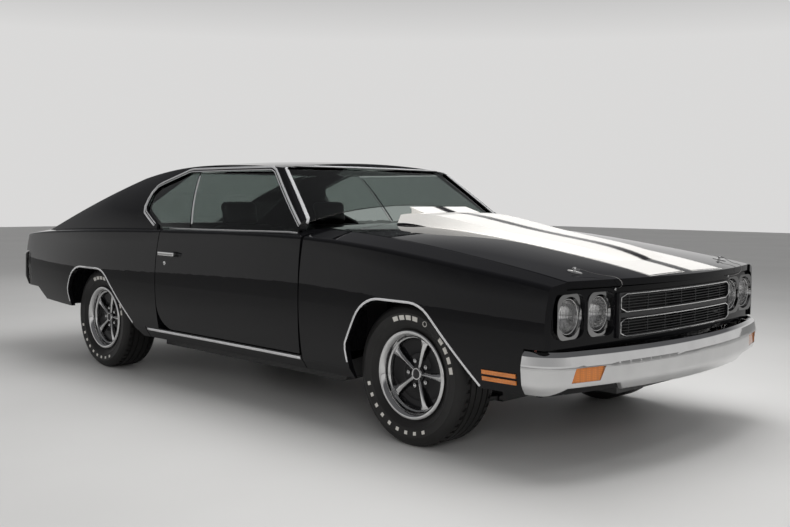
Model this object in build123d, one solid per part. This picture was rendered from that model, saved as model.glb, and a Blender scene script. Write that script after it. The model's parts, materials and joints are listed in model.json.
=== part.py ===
from build123d import *
import math
import os

# A two-door hardtop muscle car of about 1970, at full size, in millimetres.
# +X is forward, +Y is the car's left and +Z is up. The origin lies on the ground,
# under the centre of the overall length and width.

# ---- driving dimensions -------------------------------------------------------------
length = 5009.0            # bumper to bumper
width = 1915.0             # over the rear haunches
wheelbase = 2845.0
front_overhang = 977.0     # front axle to the tip of the front bumper
track = 1524.0             # between the tyres' middle planes

nose_x = length / 2
tail_x = -length / 2
front_axle_x = nose_x - front_overhang
rear_axle_x = front_axle_x - wheelbase

tyre_radius = 330.0
tyre_width = 236.0
rim_radius = 190.0         # bead seat of a 15 inch rim
rim_flange_radius = 203.0
trim_ring_radius = 209.0
rim_width = 190.0
wheel_y = track / 2

skin = 28.0                # depth of a panel with its turned flanges
door_depth = 105.0         # outer skin to inner trim
glass = 6.0
shut_gap = 7.0             # visible gap at a door, a lid and the bonnet
clearance = 0.3            # between pieces that seat on each other


# ---- small helpers ------------------------------------------------------------------
def box(x0, x1, y0, y1, z0, z1):
    """A block between two corners."""
    size = (abs(x1 - x0), abs(y1 - y0), abs(z1 - z0))
    middle = ((x0 + x1) / 2, (y0 + y1) / 2, (z0 + z1) / 2)
    return Pos(*middle) * Box(*size)


def outline_edges(points, place):
    """Straight runs with corner arcs, through (u, v) or (u, v, radius) points."""
    corners = []
    for i, point in enumerate(points):
        radius = point[2] if len(point) > 2 else 0.0
        corner = Vector(point[0], point[1])
        before, after = points[i - 1], points[(i + 1) % len(points)]
        back = (Vector(before[0], before[1]) - corner)
        ahead = (Vector(after[0], after[1]) - corner)
        half = math.radians(back.get_angle(ahead)) / 2
        reach = radius / math.tan(half)
        start = corner + back.normalized() * reach
        end = corner + ahead.normalized() * reach
        middle = corner
        if radius:
            middle = corner + (back.normalized() + ahead.normalized()).normalized() * (radius / math.sin(half) - radius)
        corners.append((start, middle, end, radius))
    edges = []
    for i, (start, middle, end, radius) in enumerate(corners):
        if radius:
            edges.append(ThreePointArc(place(start), place(middle), place(end)))
        edges.append(Line(place(end), place(corners[(i + 1) % len(corners)][0])))
    return edges


def side_prism(points, y0, y1):
    """An outline of (x, z) or (x, z, radius) points, extruded across the car from y0 to y1."""
    edges = outline_edges(points, lambda p: (p.X, y0, p.Y))
    return extrude(make_face(edges), amount=y1 - y0, dir=(0, 1, 0))


def plan_prism(points, z0, z1):
    """An outline of (x, y) or (x, y, radius) points, extruded up from z0 to z1."""
    edges = outline_edges(points, lambda p: (p.X, p.Y, z0))
    return extrude(make_face(edges), amount=z1 - z0, dir=(0, 0, 1))


def front_prism(points, x0, x1):
    """An outline of (y, z) or (y, z, radius) points, extruded along the car from x0 to x1."""
    edges = outline_edges(points, lambda p: (x0, p.X, p.Y))
    return extrude(make_face(edges), amount=x1 - x0, dir=(1, 0, 0))


def left_of(shape):
    """The mirror image on the car's left side."""
    return mirror(shape, about=Plane.XZ)


def rod(start, end, radius):
    """A round bar between two points."""
    a, b = Vector(*start), Vector(*end)
    return Plane(origin=a, z_dir=b - a) * extrude(Circle(radius), amount=(b - a).length)


# ---- body shell, lofted through cross-sections ----------------------------------------
# Each row is one cross-section of the lower body, on the car's right half:
# x: station; top: height on the centreline; gap_w, gap_z: the bonnet or boot edge;
# edge_w, edge_z: the shoulder crease; side_w, side_z: the widest point;
# sill_w, sill_z: where the side tucks under.
body_sections = [
    # x,     top, gap_w, gap_z, edge_w, edge_z, side_w, side_z, sill_w, sill_z
    (-2530, 884, 690, 872, 842, 846, 868, 640, 846, 400),
    (-2250, 908, 705, 897, 872, 872, 905, 630, 885, 380),
    (-1800, 934, 722, 920, 897, 897, 943, 620, 915, 340),
    (-1318, 952, 735, 937, 912, 915, 957, 612, 925, 320),
    (-800, 970, 745, 955, 903, 929, 944, 610, 912, 318),
    (-100, 982, 752, 966, 893, 940, 928, 612, 902, 318),
    (500, 992, 752, 972, 895, 944, 928, 615, 902, 318),
    (1000, 998, 760, 968, 903, 932, 936, 618, 908, 320),
    (1527, 964, 785, 925, 914, 890, 950, 615, 920, 322),
    (2000, 898, 805, 864, 909, 834, 940, 610, 912, 330),
    (2330, 840, 812, 812, 897, 788, 920, 600, 890, 345),
    (2530, 792, 815, 768, 888, 748, 905, 590, 870, 360),
]
sill_bottom_z = 268.0
edge_round = 16.0          # softening of the shoulder crease


def arc_through_vertical(foot, other):
    """The middle point of an arc that leaves foot straight up or down and ends at other."""
    fw, fz = foot
    ow, oz = other
    rise, run = oz - fz, fw - ow
    radius = (rise * rise + run * run) / (2 * run)
    angle = math.atan2(rise, radius - run) / 2
    return fw - radius + radius * math.cos(angle), fz + radius * math.sin(angle)


def section_wire(row, inset, drop):
    """One closed cross-section, set in from the outer skin by inset, its floor lowered by drop."""
    x, top, gap_w, gap_z, edge_w, edge_z, side_w, side_z, sill_w, sill_z = row
    top, gap_z, edge_z = top - inset, gap_z - inset, edge_z - inset
    edge_w, side_w, sill_w = edge_w - inset, side_w - inset, sill_w - inset
    gap_w = gap_w - inset / 2
    crown = (top - gap_z)
    crown_radius = (gap_w ** 2 + crown ** 2) / (2 * crown)
    half_angle = math.asin(gap_w / crown_radius) / 2
    crown_mid = (crown_radius * math.sin(half_angle), top - crown_radius * (1 - math.cos(half_angle)))
    slope = (edge_z - gap_z) / (edge_w - gap_w)
    before = (edge_w - edge_round, edge_z - edge_round * slope)
    upper_mid = arc_through_vertical((side_w, side_z), (edge_w, edge_z))
    fall = (edge_z - upper_mid[1]) / (edge_w - upper_mid[0])
    after_z = edge_z - edge_round
    after = (edge_w - edge_round / fall * 1.0 if fall else edge_w, after_z)
    corner = (0.5 * edge_w + 0.25 * (before[0] + after[0]), 0.5 * edge_z + 0.25 * (before[1] + after[1]))
    side_mid = arc_through_vertical((side_w, side_z), after)
    lower_mid = arc_through_vertical((side_w, side_z), (sill_w, sill_z))
    floor_z = sill_bottom_z - drop
    floor_w = sill_w - 34

    def half(sign):
        def at(point):
            return (x, sign * point[0], point[1])
        return [
            ThreePointArc((x, 0, top), at(crown_mid), at((gap_w, gap_z))),
            Line(at((gap_w, gap_z)), at(before)),
            ThreePointArc(at(before), at(corner), at(after)),
            ThreePointArc(at(after), at(side_mid), at((side_w, side_z))),
            ThreePointArc(at((side_w, side_z)), at(lower_mid), at((sill_w, sill_z))),
            Line(at((sill_w, sill_z)), at((floor_w, floor_z))),
        ]

    base = Line((x, -floor_w, floor_z), (x, floor_w, floor_z))
    return Wire(half(-1) + [base] + [e for e in half(1)])


def body_loft(inset=0.0, drop=0.0):
    """The lower body as one closed solid."""
    return Solid.make_loft([section_wire(row, inset, drop) for row in body_sections])



# ---- greenhouse, lofted through level outlines ------------------------------------------
# Each row is one level outline of roof, glass and pillars, on the car's right half:
# z: level; front_x: windscreen on the centreline; pillar_x, pillar_w: windscreen pillar;
# side_x, side_w: widest point of the side; sail_x, sail_w: tail of the rear pillar.
greenhouse_levels = [
    # z,   front_x, pillar_x, pillar_w, side_x, side_w, sail_x, sail_w
    (860, 1048, 868, 877, -100, 892, -2395, 750),
    (984, 885, 735, 832, -120, 850, -2060, 708),
    (1134, 662, 560, 762, -150, 782, -1620, 652),
    (1314, 400, 340, 664, -200, 675, -960, 588),
    (1424, 235, 205, 604, -230, 612, -480, 545),
]
roof_thickness = 42.0
# Each row is one arc of the roof's crown: x: station; top: height on the centreline;
# fall: how much lower it is at crown_half_width.
crown_rows = [
    # x,    top, fall
    (700, 1286, 44),
    (430, 1333, 42),
    (60, 1357, 40),
    (-330, 1362, 40),
    (-700, 1349, 42),
    (-1050, 1314, 46),
    (-1700, 1190, 60),
    (-2400, 1020, 80),
]
crown_half_width = 700.0


def level_wire(row, inset):
    """One closed level outline, set in by inset."""
    z, front_x, pillar_x, pillar_w, side_x, side_w, sail_x, sail_w = row
    front_x, pillar_x, pillar_w = front_x - inset, pillar_x - inset, pillar_w - inset
    side_w, sail_x, sail_w = side_w - inset, sail_x + inset, sail_w - inset
    sweep_back = front_x - pillar_x
    radius = (pillar_w ** 2 + sweep_back ** 2) / (2 * sweep_back)
    half_angle = math.asin(pillar_w / radius) / 2
    screen_mid = (front_x - radius * (1 - math.cos(half_angle)), radius * math.sin(half_angle))

    def half(sign):
        def at(x, w):
            return (x, sign * w, z)
        return [
            ThreePointArc((front_x, 0, z), at(*screen_mid), at(pillar_x, pillar_w)),
            ThreePointArc(at(pillar_x, pillar_w), at(side_x, side_w), at(sail_x, sail_w)),
        ]

    tail = Line((sail_x, -sail_w, z), (sail_x, sail_w, z))
    return Wire(half(-1) + [tail] + half(1))


def crown_solid(drop):
    """Everything under the roof's crowned top, lowered by drop."""
    wires = []
    for x, top, fall in crown_rows:
        high, low = top - drop, top - drop - fall
        half = crown_half_width + 250
        edge = high - fall * (half / crown_half_width) ** 2
        wires.append(Wire([
            ThreePointArc((x, -half, edge), (x, 0, high), (x, half, edge)),
            Line((x, half, edge), (x, half, 0)),
            Line((x, half, 0), (x, -half, 0)),
            Line((x, -half, 0), (x, -half, edge)),
        ]))
    return Solid.make_loft(wires)


def greenhouse(inset=0.0):
    """Roof, glass and pillars as one closed solid, set in by inset."""
    walls = Solid.make_loft([level_wire(row, inset) for row in greenhouse_levels])
    return walls & crown_solid(inset)


# windows: (y, z) of the front and rear screens' openings on the right, (x, z) of the side ones
screen_opening = [(-790, 974), (-640, 1308), (640, 1308), (790, 974)]
side_opening = [
    (694, 900), (694, 974), (286, 1288, 30), (-560, 1288, 160), (-905, 1189, 60), (-895, 1059, 30), (-660, 962, 40),
    (-660, 900),
]
glass_split = [(-300, 900), (-300, 955), (-450, 1261), (-470, 1324)]    # rear edge of the door glass
split_gap = 9.0
glass_depth = 14.0             # how far the glass sits inside the outer skin
rear_screen_low = (-1610, 925)
rear_screen_high = (-815, 1316)
rear_recess = [(-642, 875), (-642, 1110), (-545, 1370), (545, 1370), (642, 1110), (642, 875)]    # clear of the lid's path
rear_opening = [(-598, 948), (-500, 1292), (500, 1292), (598, 948)]

# ---- where the panels meet ---------------------------------------------------------------
door_front_x = 800.0
door_rear_x = -545.0
door_bottom_z = 345.0
door_corner_radius = 150.0     # lower rear corner
side_half_width = 928.0        # half width over the doors
door_inner_w = side_half_width - door_depth
body_inner_w = door_inner_w - shut_gap    # inner face of the body around the door opening

fender_low_z = 345.0           # lower edge of the fender ahead of the wheel
hood_rear_x = 898.0
hood_rear_w = 745.0            # half width of the bonnet at its rear edge
hood_front_w = 823.0           # half width of the bonnet where it meets the nose
hood_front_x = 2500.0

lid_front_x = -1700.0
lid_half_width = 636.0
lid_front_radius = 60.0
tail_edge_x = -2440.0
tail_panel_x = -2412.0         # the body behind the rear bumper ends here
quarter_end_x = -2389.0        # and the quarters end here, short of the bumper's corners
lid_bottom_z = 742.0           # the boot lid turns down over the tail to here

nose_tip_x = 2470.0            # nose of the body behind the bumper
nose_corner_x = 2320.0
nose_corner_w = 900.0

firewall_x = 890.0
floor_z = 283.0
floor_sheet = 12.0
floor_top = floor_z + floor_sheet
seat_riser_x = -720.0
boot_floor_z = 458.0
sill_top_z = door_bottom_z - shut_gap

# outlines of the wheel openings, as (x, z, corner radius) from front to rear
front_arch = [
    (front_axle_x + 560, 240),
    (front_axle_x + 135, 668, 170),
    (front_axle_x - 235, 668, 190),
    (front_axle_x - 372, 430, 60),
    (front_axle_x - 350, 240),
]
rear_arch = [
    (rear_axle_x + 570, 240),
    (rear_axle_x + 150, 660, 160),
    (rear_axle_x - 250, 660, 200),
    (rear_axle_x - 345, 500, 60),
    (rear_axle_x - 275, 240),
]
wheelhouse_radius = 415.0
wheelhouse_sheet = 6.0
upper_arm_z = 475.0
lower_arm_z = 171.0

# ---- bumpers -------------------------------------------------------------------------------
bumper_sheet = 18.0
front_bumper_radius = 2900.0
front_bumper_end_w = 950.0
front_bumper_corner = 170.0
front_bumper_top = 530.0
front_bumper_bottom = 350.0
rear_bumper_radius = 8000.0
rear_bumper_end_w = 908.0
rear_bumper_corner = 62.0
rear_bumper_top = 725.0
rear_bumper_bottom = 483.0

# ---- lamps ------------------------------------------------------------------------------------
lamp_z = 665.0
lens_radius = 73.0
# each row is one headlamp on the right side: half distance between the pair, and bezel front
headlamp_rows = [
    # w,   x
    (780, 2336),
    (595, 2356),
]
bezel_width = 172.0
bezel_height = 184.0
bezel_depth = 62.0

# ---- joints ---------------------------------------------------------------------------------
hinge_x = door_front_x + 80.0
hinge_w = side_half_width - 50.0
hinge_heights = (480.0, 740.0)
hinge_pin_radius = 8.0
running_clearance = 0.05
kingpin_w = 655.0


# ---- lower body ---------------------------------------------------------------------------------
def hood_edge(x):
    """Half width of the bonnet opening at x."""
    share = (x - hood_rear_x) / (hood_front_x - hood_rear_x)
    return hood_rear_w + share * (hood_front_w - hood_rear_w)


def ahead_of_nose(setback=0.0):
    """Everything in front of the nose's plan curve, moved back by setback."""
    side_x, side_w = nose_corner_x - setback, nose_corner_w
    tip = nose_tip_x - setback
    radius = ((tip - side_x) ** 2 + side_w ** 2) / (2 * (tip - side_x))
    far_w = 1000.0
    far_x = tip - radius + math.sqrt(radius ** 2 - far_w ** 2)
    edges = [
        ThreePointArc((far_x, -far_w, 0), (tip, 0, 0), (far_x, far_w, 0)),
        Line((far_x, far_w, 0), (3000, far_w, 0)),
        Line((3000, far_w, 0), (3000, -far_w, 0)),
        Line((3000, -far_w, 0), (far_x, -far_w, 0)),
    ]
    return extrude(make_face(edges), amount=1200, dir=(0, 0, 1))


def door_outline(grow):
    """Side view of a door, grown by grow on every edge."""
    front, rear, low = door_front_x + grow, door_rear_x - grow, door_bottom_z - grow
    return [(front, low), (front, 1000), (rear, 1000), (rear, low, door_corner_radius + grow)]


def strap(start, end, half_width, z0, z1):
    """A flat bar between two plan points."""
    a, b = Vector(*start), Vector(*end)
    along = (b - a).normalized() * half_width
    across = Vector(-along.Y, along.X)
    corners = [a - along + across, b + along + across, b + along - across, a - along - across]
    return plan_prism([(p.X, p.Y) for p in corners], z0, z1)


def upright(x, y, radius, z0, z1):
    """A vertical round bar."""
    return rod((x, y, z0), (x, y, z1), radius)


def ring_slab(tip_x, corner_x, thickness, z0, z1, half_width):
    """A slab that follows the nose's plan arc, thickness deep behind its front face."""
    def arc(back):
        return ThreePointArc((corner_x - back, -nose_corner_w, z0), (tip_x - back, 0, z0),
                             (corner_x - back, nose_corner_w, z0))
    front, rear = arc(0), arc(thickness)
    face = make_face([front, Line(front @ 1, rear @ 1), rear, Line(rear @ 0, front @ 0)])
    slab = extrude(face, amount=z1 - z0, dir=(0, 0, 1))
    return slab & box(0, 3000, -half_width, half_width, z0, z1)


outer = body_loft()
inner = body_loft(skin, drop=40)
under_skin = body_loft(skin + clearance, drop=40)
under_ledge = body_loft(skin + clearance + 4.0, drop=40)
shell = (outer - inner) - ahead_of_nose() - box(-3000, tail_edge_x, -1000, 1000, 0, 1200)
ledge = under_skin - under_ledge
cabin_well = extrude(make_face(level_wire(greenhouse_levels[1], roof_thickness)), amount=114, dir=(0, 0, 1))
cabin_well = Pos(0, 0, -114) * cabin_well


def make_fender():
    """Right front fender: top, side, wheel opening, inner wheelhouse and the bonnet's ledge."""
    rear = door_front_x + shut_gap
    half_gap = shut_gap / 2
    plan = [
        (rear, -1000), (2600, -1000), (2600, -hood_edge(2600) - half_gap),
        (hood_rear_x, -hood_rear_w - half_gap), (rear, -hood_rear_w - half_gap),
    ]
    ledge_plan = [
        (1000, -hood_edge(1000) - 60), (2280, -hood_edge(2280) - 60),
        (2280, -hood_edge(2280) + 22), (1000, -hood_edge(1000) + 22),
    ]
    behind_bumper = box(2216, 2600, -1000, 0, 0, front_bumper_top + 8)
    panel = (shell & plan_prism(plan, 0, 1200)) - side_prism(front_arch, -1000, -600) - behind_bumper
    panel -= box(front_axle_x + 100, 2600, -1000, 0, 0, fender_low_z)
    return panel + (ledge & plan_prism(ledge_plan, 600, 1200)) + wheelhouse(front_axle_x, 470.0, front_arch)


def wheelhouse(axle_x, inboard_w, arch):
    """Curved inner wheel arch with its inboard wall, out to the skin on the right side."""
    def drum(radius, y0, y1):
        return rod((axle_x, y0, tyre_radius), (axle_x, y1, tyre_radius), radius)
    tub = drum(wheelhouse_radius + wheelhouse_sheet, -inboard_w, -1000)
    tub -= drum(wheelhouse_radius, -inboard_w - wheelhouse_sheet, -1000)
    tub = tub & box(axle_x - 500, axle_x + 500, -1000, 0, tyre_radius + 60, 1000) & outer
    tub -= box(axle_x - 150, axle_x + 150, -inboard_w - 10, -inboard_w + 10, upper_arm_z - 20, upper_arm_z + 20)
    return tub - side_prism(arch, -1000, -895)


def make_quarter():
    """Right rear quarter: side, shoulder, wheel opening, lock pillar, inner trim and wheelhouse."""
    front = door_rear_x - shut_gap
    half_gap = shut_gap / 2
    plan = [
        (front, -1000), (front, -400), (lid_front_x + 140, -400), (lid_front_x + 140, -lid_half_width - half_gap),
        (-2600, -lid_half_width - half_gap), (-2600, -1000),
    ]
    tail_cut = [(-2600, 200), (-1550, 200), (-1550, 385), (-2060, 402), (-2206, 480), (-2600, 480)]
    panel = (shell & plan_prism(plan, 0, 1200)) - cabin_well
    panel -= side_prism(rear_arch, -1000, -600)
    panel -= side_prism(tail_cut, -1000, 0)
    panel -= box(-2600, quarter_end_x, -1000, 0, 0, rear_bumper_top + 8)
    panel -= side_prism(door_outline(shut_gap), -1000, -body_inner_w)
    panel -= box(-700, door_front_x, -1000, 0, 0, sill_top_z)
    pillar = box(front - 40, front, -1000, -body_inner_w, sill_top_z, 930) & outer
    pillar -= side_prism(door_outline(shut_gap), -1000, -body_inner_w)
    trim = box(-960, front, -body_inner_w, -body_inner_w + 16, floor_top, 1000) & under_skin
    ledge_plan = [
        (lid_front_x - 30, -lid_half_width - 50), (tail_edge_x + 60, -lid_half_width - 50),
        (tail_edge_x + 60, -lid_half_width + 22), (lid_front_x - 30, -lid_half_width + 22),
    ]
    shelf = ledge & plan_prism(ledge_plan, 700, 1200)
    return panel + pillar + trim + shelf + wheelhouse(rear_axle_x, 615.0, rear_arch)


def make_cowl():
    """Cowl top, firewall, hinge pillars and the brackets and pins of the door hinges."""
    rear_w = body_inner_w
    half_gap = shut_gap / 2
    front = hood_rear_x - shut_gap
    side_w = hood_rear_w + half_gap - clearance
    plan = [
        (front, -side_w), (door_front_x + shut_gap - clearance, -side_w), (door_front_x, -rear_w), (630, -rear_w),
        (630, rear_w), (door_front_x, rear_w), (door_front_x + shut_gap - clearance, side_w), (front, side_w),
    ]
    top = (shell & plan_prism(plan, 700, 1200)) - cabin_well
    cowl_ledge = ledge & box(front - 16, hood_rear_x + 20, -680, 680, 700, 1200)
    wall = box(firewall_x - 12, firewall_x, -rear_w, rear_w, floor_top + clearance, 1000) & inner
    wall -= rod((firewall_x - 40, 0, floor_z + 12), (firewall_x + 40, 0, floor_z + 12), 165)
    cowl = top + cowl_ledge + wall
    for side in (-1, 1):
        post = box(firewall_x - 140, firewall_x - 4, side * 775, side * 720, floor_top + clearance, 1000) & inner
        jamb = box(door_front_x + 8, door_front_x + 20, side * 895, side * 770, floor_top + clearance, 1000) & under_skin
        jamb += box(door_front_x + 8, firewall_x - 2, side * 775, side * 763, floor_top + clearance, 905) & under_skin
        for z in hinge_heights:
            jamb -= box(door_front_x - 20, firewall_x - 12, side * 900, side * 778, z - 34, z + 34)
            for low, high in ((z - 36, z - 28), (z + 28, z + 36)):
                jamb += box(hinge_x - 45, hinge_x + 9, side * 892, side * 770, low, high)
            jamb += upright(hinge_x, side * hinge_w, hinge_pin_radius, z - 36, z + 36)
        cowl = cowl + post + jamb
    return cowl


def make_door():
    """Right door with its two gooseneck hinge arms."""
    leaf = outer & side_prism(door_outline(0), -1000, -door_inner_w)
    gap_corner = math.hypot(hinge_x - door_front_x - shut_gap, side_half_width + 4 - hinge_w)
    leaf -= upright(hinge_x, -hinge_w, gap_corner + 6, 200, 1100)
    for z in hinge_heights:
        low, high = z - 25, z + 25
        elbow = (hinge_x - 50, -hinge_w + 87)
        arm = upright(hinge_x, -hinge_w, 14, low, high)
        arm += strap((hinge_x, -hinge_w), elbow, 7, low, high)
        arm += strap(elbow, (hinge_x - 96, -door_inner_w - 12), 7, low, high)
        leaf = leaf + arm - upright(hinge_x, -hinge_w, hinge_pin_radius + running_clearance, low - 1, high + 1)
    handle = box(door_rear_x + 60, door_rear_x + 215, -side_half_width - 24, -side_half_width + 12, 788, 812)
    return leaf + handle


def dome(lower=0.0):
    """The raised centre of the bonnet, tapering out towards the nose."""
    rows = [
        # x, half width at the foot, half width on top, height above the bonnet's crown
        (hood_rear_x - 40, 330, 292, 50),
        (1400, 305, 262, 41),
        (1900, 262, 215, 25),
        (2130, 240, 195, 17),
        (2290, 222, 178, -16),
    ]
    wires = []
    for x, foot_w, top_w, rise in rows:
        crown = crown_at(x) - lower
        base = crown - 90
        low, high = crown - 14, crown + rise
        foot_w, top_w = foot_w - lower, top_w - lower
        wires.append(Wire([
            ThreePointArc((x, -top_w, high - 5), (x, 0, high), (x, top_w, high - 5)),
            Line((x, top_w, high - 5), (x, foot_w, low)),
            Line((x, foot_w, low), (x, foot_w, base)),
            Line((x, foot_w, base), (x, -foot_w, base)),
            Line((x, -foot_w, base), (x, -foot_w, low)),
            Line((x, -foot_w, low), (x, -top_w, high - 5)),
        ]))
    end_x = 2262 - 3 * lower
    blunt = [(700, -400), (end_x, -400, 210), (end_x, 400, 210), (700, 400)]
    return Solid.make_loft(wires) & plan_prism(blunt, 0, 1300)


def crown_at(x):
    """Height of the lower body's centreline at x."""
    for before, after in zip(body_sections, body_sections[1:]):
        if before[0] <= x <= after[0]:
            share = (x - before[0]) / (after[0] - before[0])
            return before[1] + share * (after[1] - before[1])


def make_hood():
    """Bonnet with its raised centre."""
    plan = [
        (hood_rear_x, -hood_rear_w + shut_gap / 2), (2600, -hood_edge(2600) + shut_gap / 2),
        (2600, hood_edge(2600) - shut_gap / 2), (hood_rear_x, hood_rear_w - shut_gap / 2),
    ]
    skin_top = (outer + dome()) & plan_prism(plan, 740, 1200)
    panel = skin_top - (inner + dome(20.0)) - ahead_of_nose(8.0)
    frame = (under_skin_band(1000, 1060) + under_skin_band(2150, 2210))
    return (panel + frame - intake_pocket()) + intake_flap()


flap_front_x = 1090.0          # hinge line of the air intake's flap at the rear of the raised centre
flap_rear_x = 908.0
flap_half_w = 232.0
flap_rise = 46.0
flap_sheet = 5.0


def intake_flap():
    """The intake's flap, standing open at its rear edge on two side gussets."""
    low = crown_at(flap_front_x) + 44
    high = crown_at(flap_rear_x) + 48 + flap_rise
    plate = side_prism([(flap_front_x, low - 8), (flap_front_x, low + 1), (flap_rear_x, high), (flap_rear_x, high - flap_sheet)],
                       -flap_half_w, flap_half_w)
    for side in (-1, 1):
        plate += side_prism([(flap_front_x - 30, low - 20), (flap_front_x - 20, low - 2), (flap_rear_x + 12, high - flap_sheet),
                             (flap_rear_x + 12, low - 20)], side * (flap_half_w - 5), side * flap_half_w)
    return plate


def intake_pocket():
    """Shallow air way under the flap."""
    low = crown_at(flap_rear_x) + 36
    return box(flap_rear_x + 16, flap_front_x - 60, -flap_half_w + 14, flap_half_w - 14, low, low + 60)


def under_skin_band(x0, x1):
    """A cross brace under the bonnet."""
    return (inner - under_ledge) & box(x0, x1, -600, 600, 700, 1200)


def make_boot_lid():
    """Boot lid, turned down over the tail."""
    half_w = lid_half_width - shut_gap / 2
    plan = [(lid_front_x, -half_w, lid_front_radius), (-2600, -half_w), (-2600, half_w), (lid_front_x, half_w, lid_front_radius)]
    panel = shell & plan_prism(plan, 700, 1200)
    drop = box(tail_edge_x, tail_edge_x + skin, -half_w, half_w, lid_bottom_z, 890) & outer
    return panel + drop


def make_tail_panel():
    """Tail panel between the quarters, and the deck strip ahead of the boot lid."""
    low = rear_bumper_bottom
    step = rear_bumper_top + 8
    half_w = lid_half_width + shut_gap / 2
    panel = box(tail_panel_x + 2, tail_panel_x + 26, -1000, 1000, low, step) & under_skin
    upper = box(tail_edge_x + 1, tail_panel_x + 26, -1000, 1000, step - 4, 1000) & under_skin
    panel += upper - box(tail_edge_x - 1, tail_edge_x + 60, -half_w, half_w, step, 1000)
    sill = box(tail_panel_x + 20, tail_panel_x + 34, -half_w + 20, half_w - 20, 500, 850) & under_skin
    strip_w = half_w - clearance
    strip = shell & box(lid_front_x + shut_gap, lid_front_x + 140 - clearance, -strip_w, strip_w, 700, 1200)
    strip += ledge & box(lid_front_x - 20, lid_front_x + 30, -560, 560, 700, 1200)
    return [panel + sill] + list(strip.solids())


def make_sills():
    """Rocker sections under both doors."""
    right = outer & box(door_rear_x - shut_gap - 140, door_front_x, -1000, -body_inner_w, 0, sill_top_z - clearance)
    return [right, left_of(right)]


# ---- roof and glass --------------------------------------------------------------------------
def behind_rear_screen(depth):
    """Everything behind the rear screen's plane, the plane moved forward into the roof by depth."""
    low, high = Vector(*rear_screen_low), Vector(*rear_screen_high)
    along = (high - low).normalized()
    inward = Vector(along.Y, -along.X) * depth
    start = low - along * 160 + inward
    end = high + along * 180 + inward
    return [(start.X, start.Y), (end.X, end.Y), (-2800, end.Y), (-2800, start.Y)]


def widened(points, grow):
    """A symmetric (y, z) outline widened by grow on both sides."""
    return [(y + math.copysign(grow, y), z) for y, z in points]


def rear_recess_solid(depth):
    """The space between the sail-shaped rear pillars, grown by depth."""
    behind = side_prism(behind_rear_screen(depth), -900, 900)
    return behind & front_prism(widened(rear_recess, depth), -2900, -300)


def make_roof():
    """Roof with windscreen pillars and sail-shaped rear pillars, all windows cut."""
    hull = (greenhouse() - rear_recess_solid(0)) - (greenhouse(roof_thickness) - rear_recess_solid(roof_thickness))
    hull -= front_prism(screen_opening, 150, 1200)
    hull -= front_prism(rear_opening, -2000, -700)
    for side in (-1, 1):
        hull -= side_prism(side_opening, side * 560, side * 1000)
        hull -= box(560, door_front_x + shut_gap, side * (body_inner_w - clearance), side * 1000, 800, 967)
    return hull - body_skin_top()


def body_skin_top():
    """The body under the greenhouse, grown by the seating clearance."""
    return body_loft(-clearance)


def glass_shell():
    """The curved layer that the windscreen and the side glass are cut from."""
    return greenhouse(glass_depth) - greenhouse(glass_depth + glass)


def shrunk(points, gap):
    """A symmetric (y, z) outline narrowed and lowered by gap."""
    top = max(z for y, z in points)
    return [(y - math.copysign(gap, y), z - gap if z == top else z) for y, z in points]


def make_windscreen(layer, body):
    return (layer & front_prism(shrunk(screen_opening, clearance), 150, 1200)) - body


def side_window(layer, body, behind_split):
    """Right side glass, ahead of or behind the split between door and quarter glass."""
    inset = shut_gap if not behind_split else clearance
    gap = split_gap / 2
    far = [(900, 900), (900, 1300)] if not behind_split else [(-1500, 900), (-1500, 1300)]
    shift = gap if not behind_split else -gap
    line = [(x + shift, z) for x, z in glass_split]
    region = side_prism(line + [far[1], far[0]], -1000, -500)
    opening = side_prism(shrunk_side(inset), -1000, -500)
    return (layer & region & opening) - body


def shrunk_side(gap):
    """The side window's outline, pulled in by gap along its sloping and top edges."""
    points = []
    for x, z, *radius in side_opening:
        dx = -gap * 1.25 if x > 0 else gap
        dz = -gap if z > 1100 else 0
        points.append((x + dx, z + dz, *radius))
    return points


def make_rear_window():
    """Flat rear screen in its frame between the sails."""
    outer_face = behind_rear_screen(glass_depth)
    inner_face = behind_rear_screen(glass_depth + glass)
    slab = side_prism(inner_face, -900, 900) - side_prism(outer_face, -900, 900)
    return slab & front_prism(shrunk(rear_opening, clearance), -2000, -700) & box(-2000, -600, -900, 900, 948.3, 1300)


# ---- front end ----------------------------------------------------------------------------------
grille_tip_x = 2418.0
grille_corner_x = 2322.0
grille_low_z = 556.0
grille_high_z = 748.0
grille_half_w = 498.0
valance_low_z = 338.0


def bezel_outline(grow):
    """Rounded square of a lamp bezel about its centre."""
    w, h = bezel_width / 2 + grow, bezel_height / 2 + grow
    return [(-w, -h, 44), (w, -h, 44), (w, h, 44), (-w, h, 44)]


def at_lamp(w, outline):
    return [(y + w, z + lamp_z, *radius) for y, z, *radius in outline]


def make_nose_panel():
    """Panel between the fenders that carries lamps and grille, and the valance below it."""
    panel = ring_slab(grille_tip_x - 14, grille_corner_x - 14, 26, grille_low_z - 22, 900, 885) & under_skin
    panel = panel & box(2000, 2600, -1000, 1000, 0, 772)
    for side in (-1, 1):
        for w, x in headlamp_rows:
            panel -= front_prism(at_lamp(side * w, bezel_outline(clearance)), 2200, 2500)
    panel -= box(2200, 2500, -grille_half_w + 4, grille_half_w - 4, grille_low_z + 4, grille_high_z - 4)
    valance = ring_slab(2390, 2250, 20, valance_low_z, grille_low_z - 22.5, 868) & under_skin
    for side in (-1, 1):
        valance -= box(2300, 2400, side * 338, side * 412, 345, 395)
    return panel + (ring_slab(2404, 2300, 60, grille_low_z - 30, grille_low_z - 14, 868) & under_skin) + valance


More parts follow.
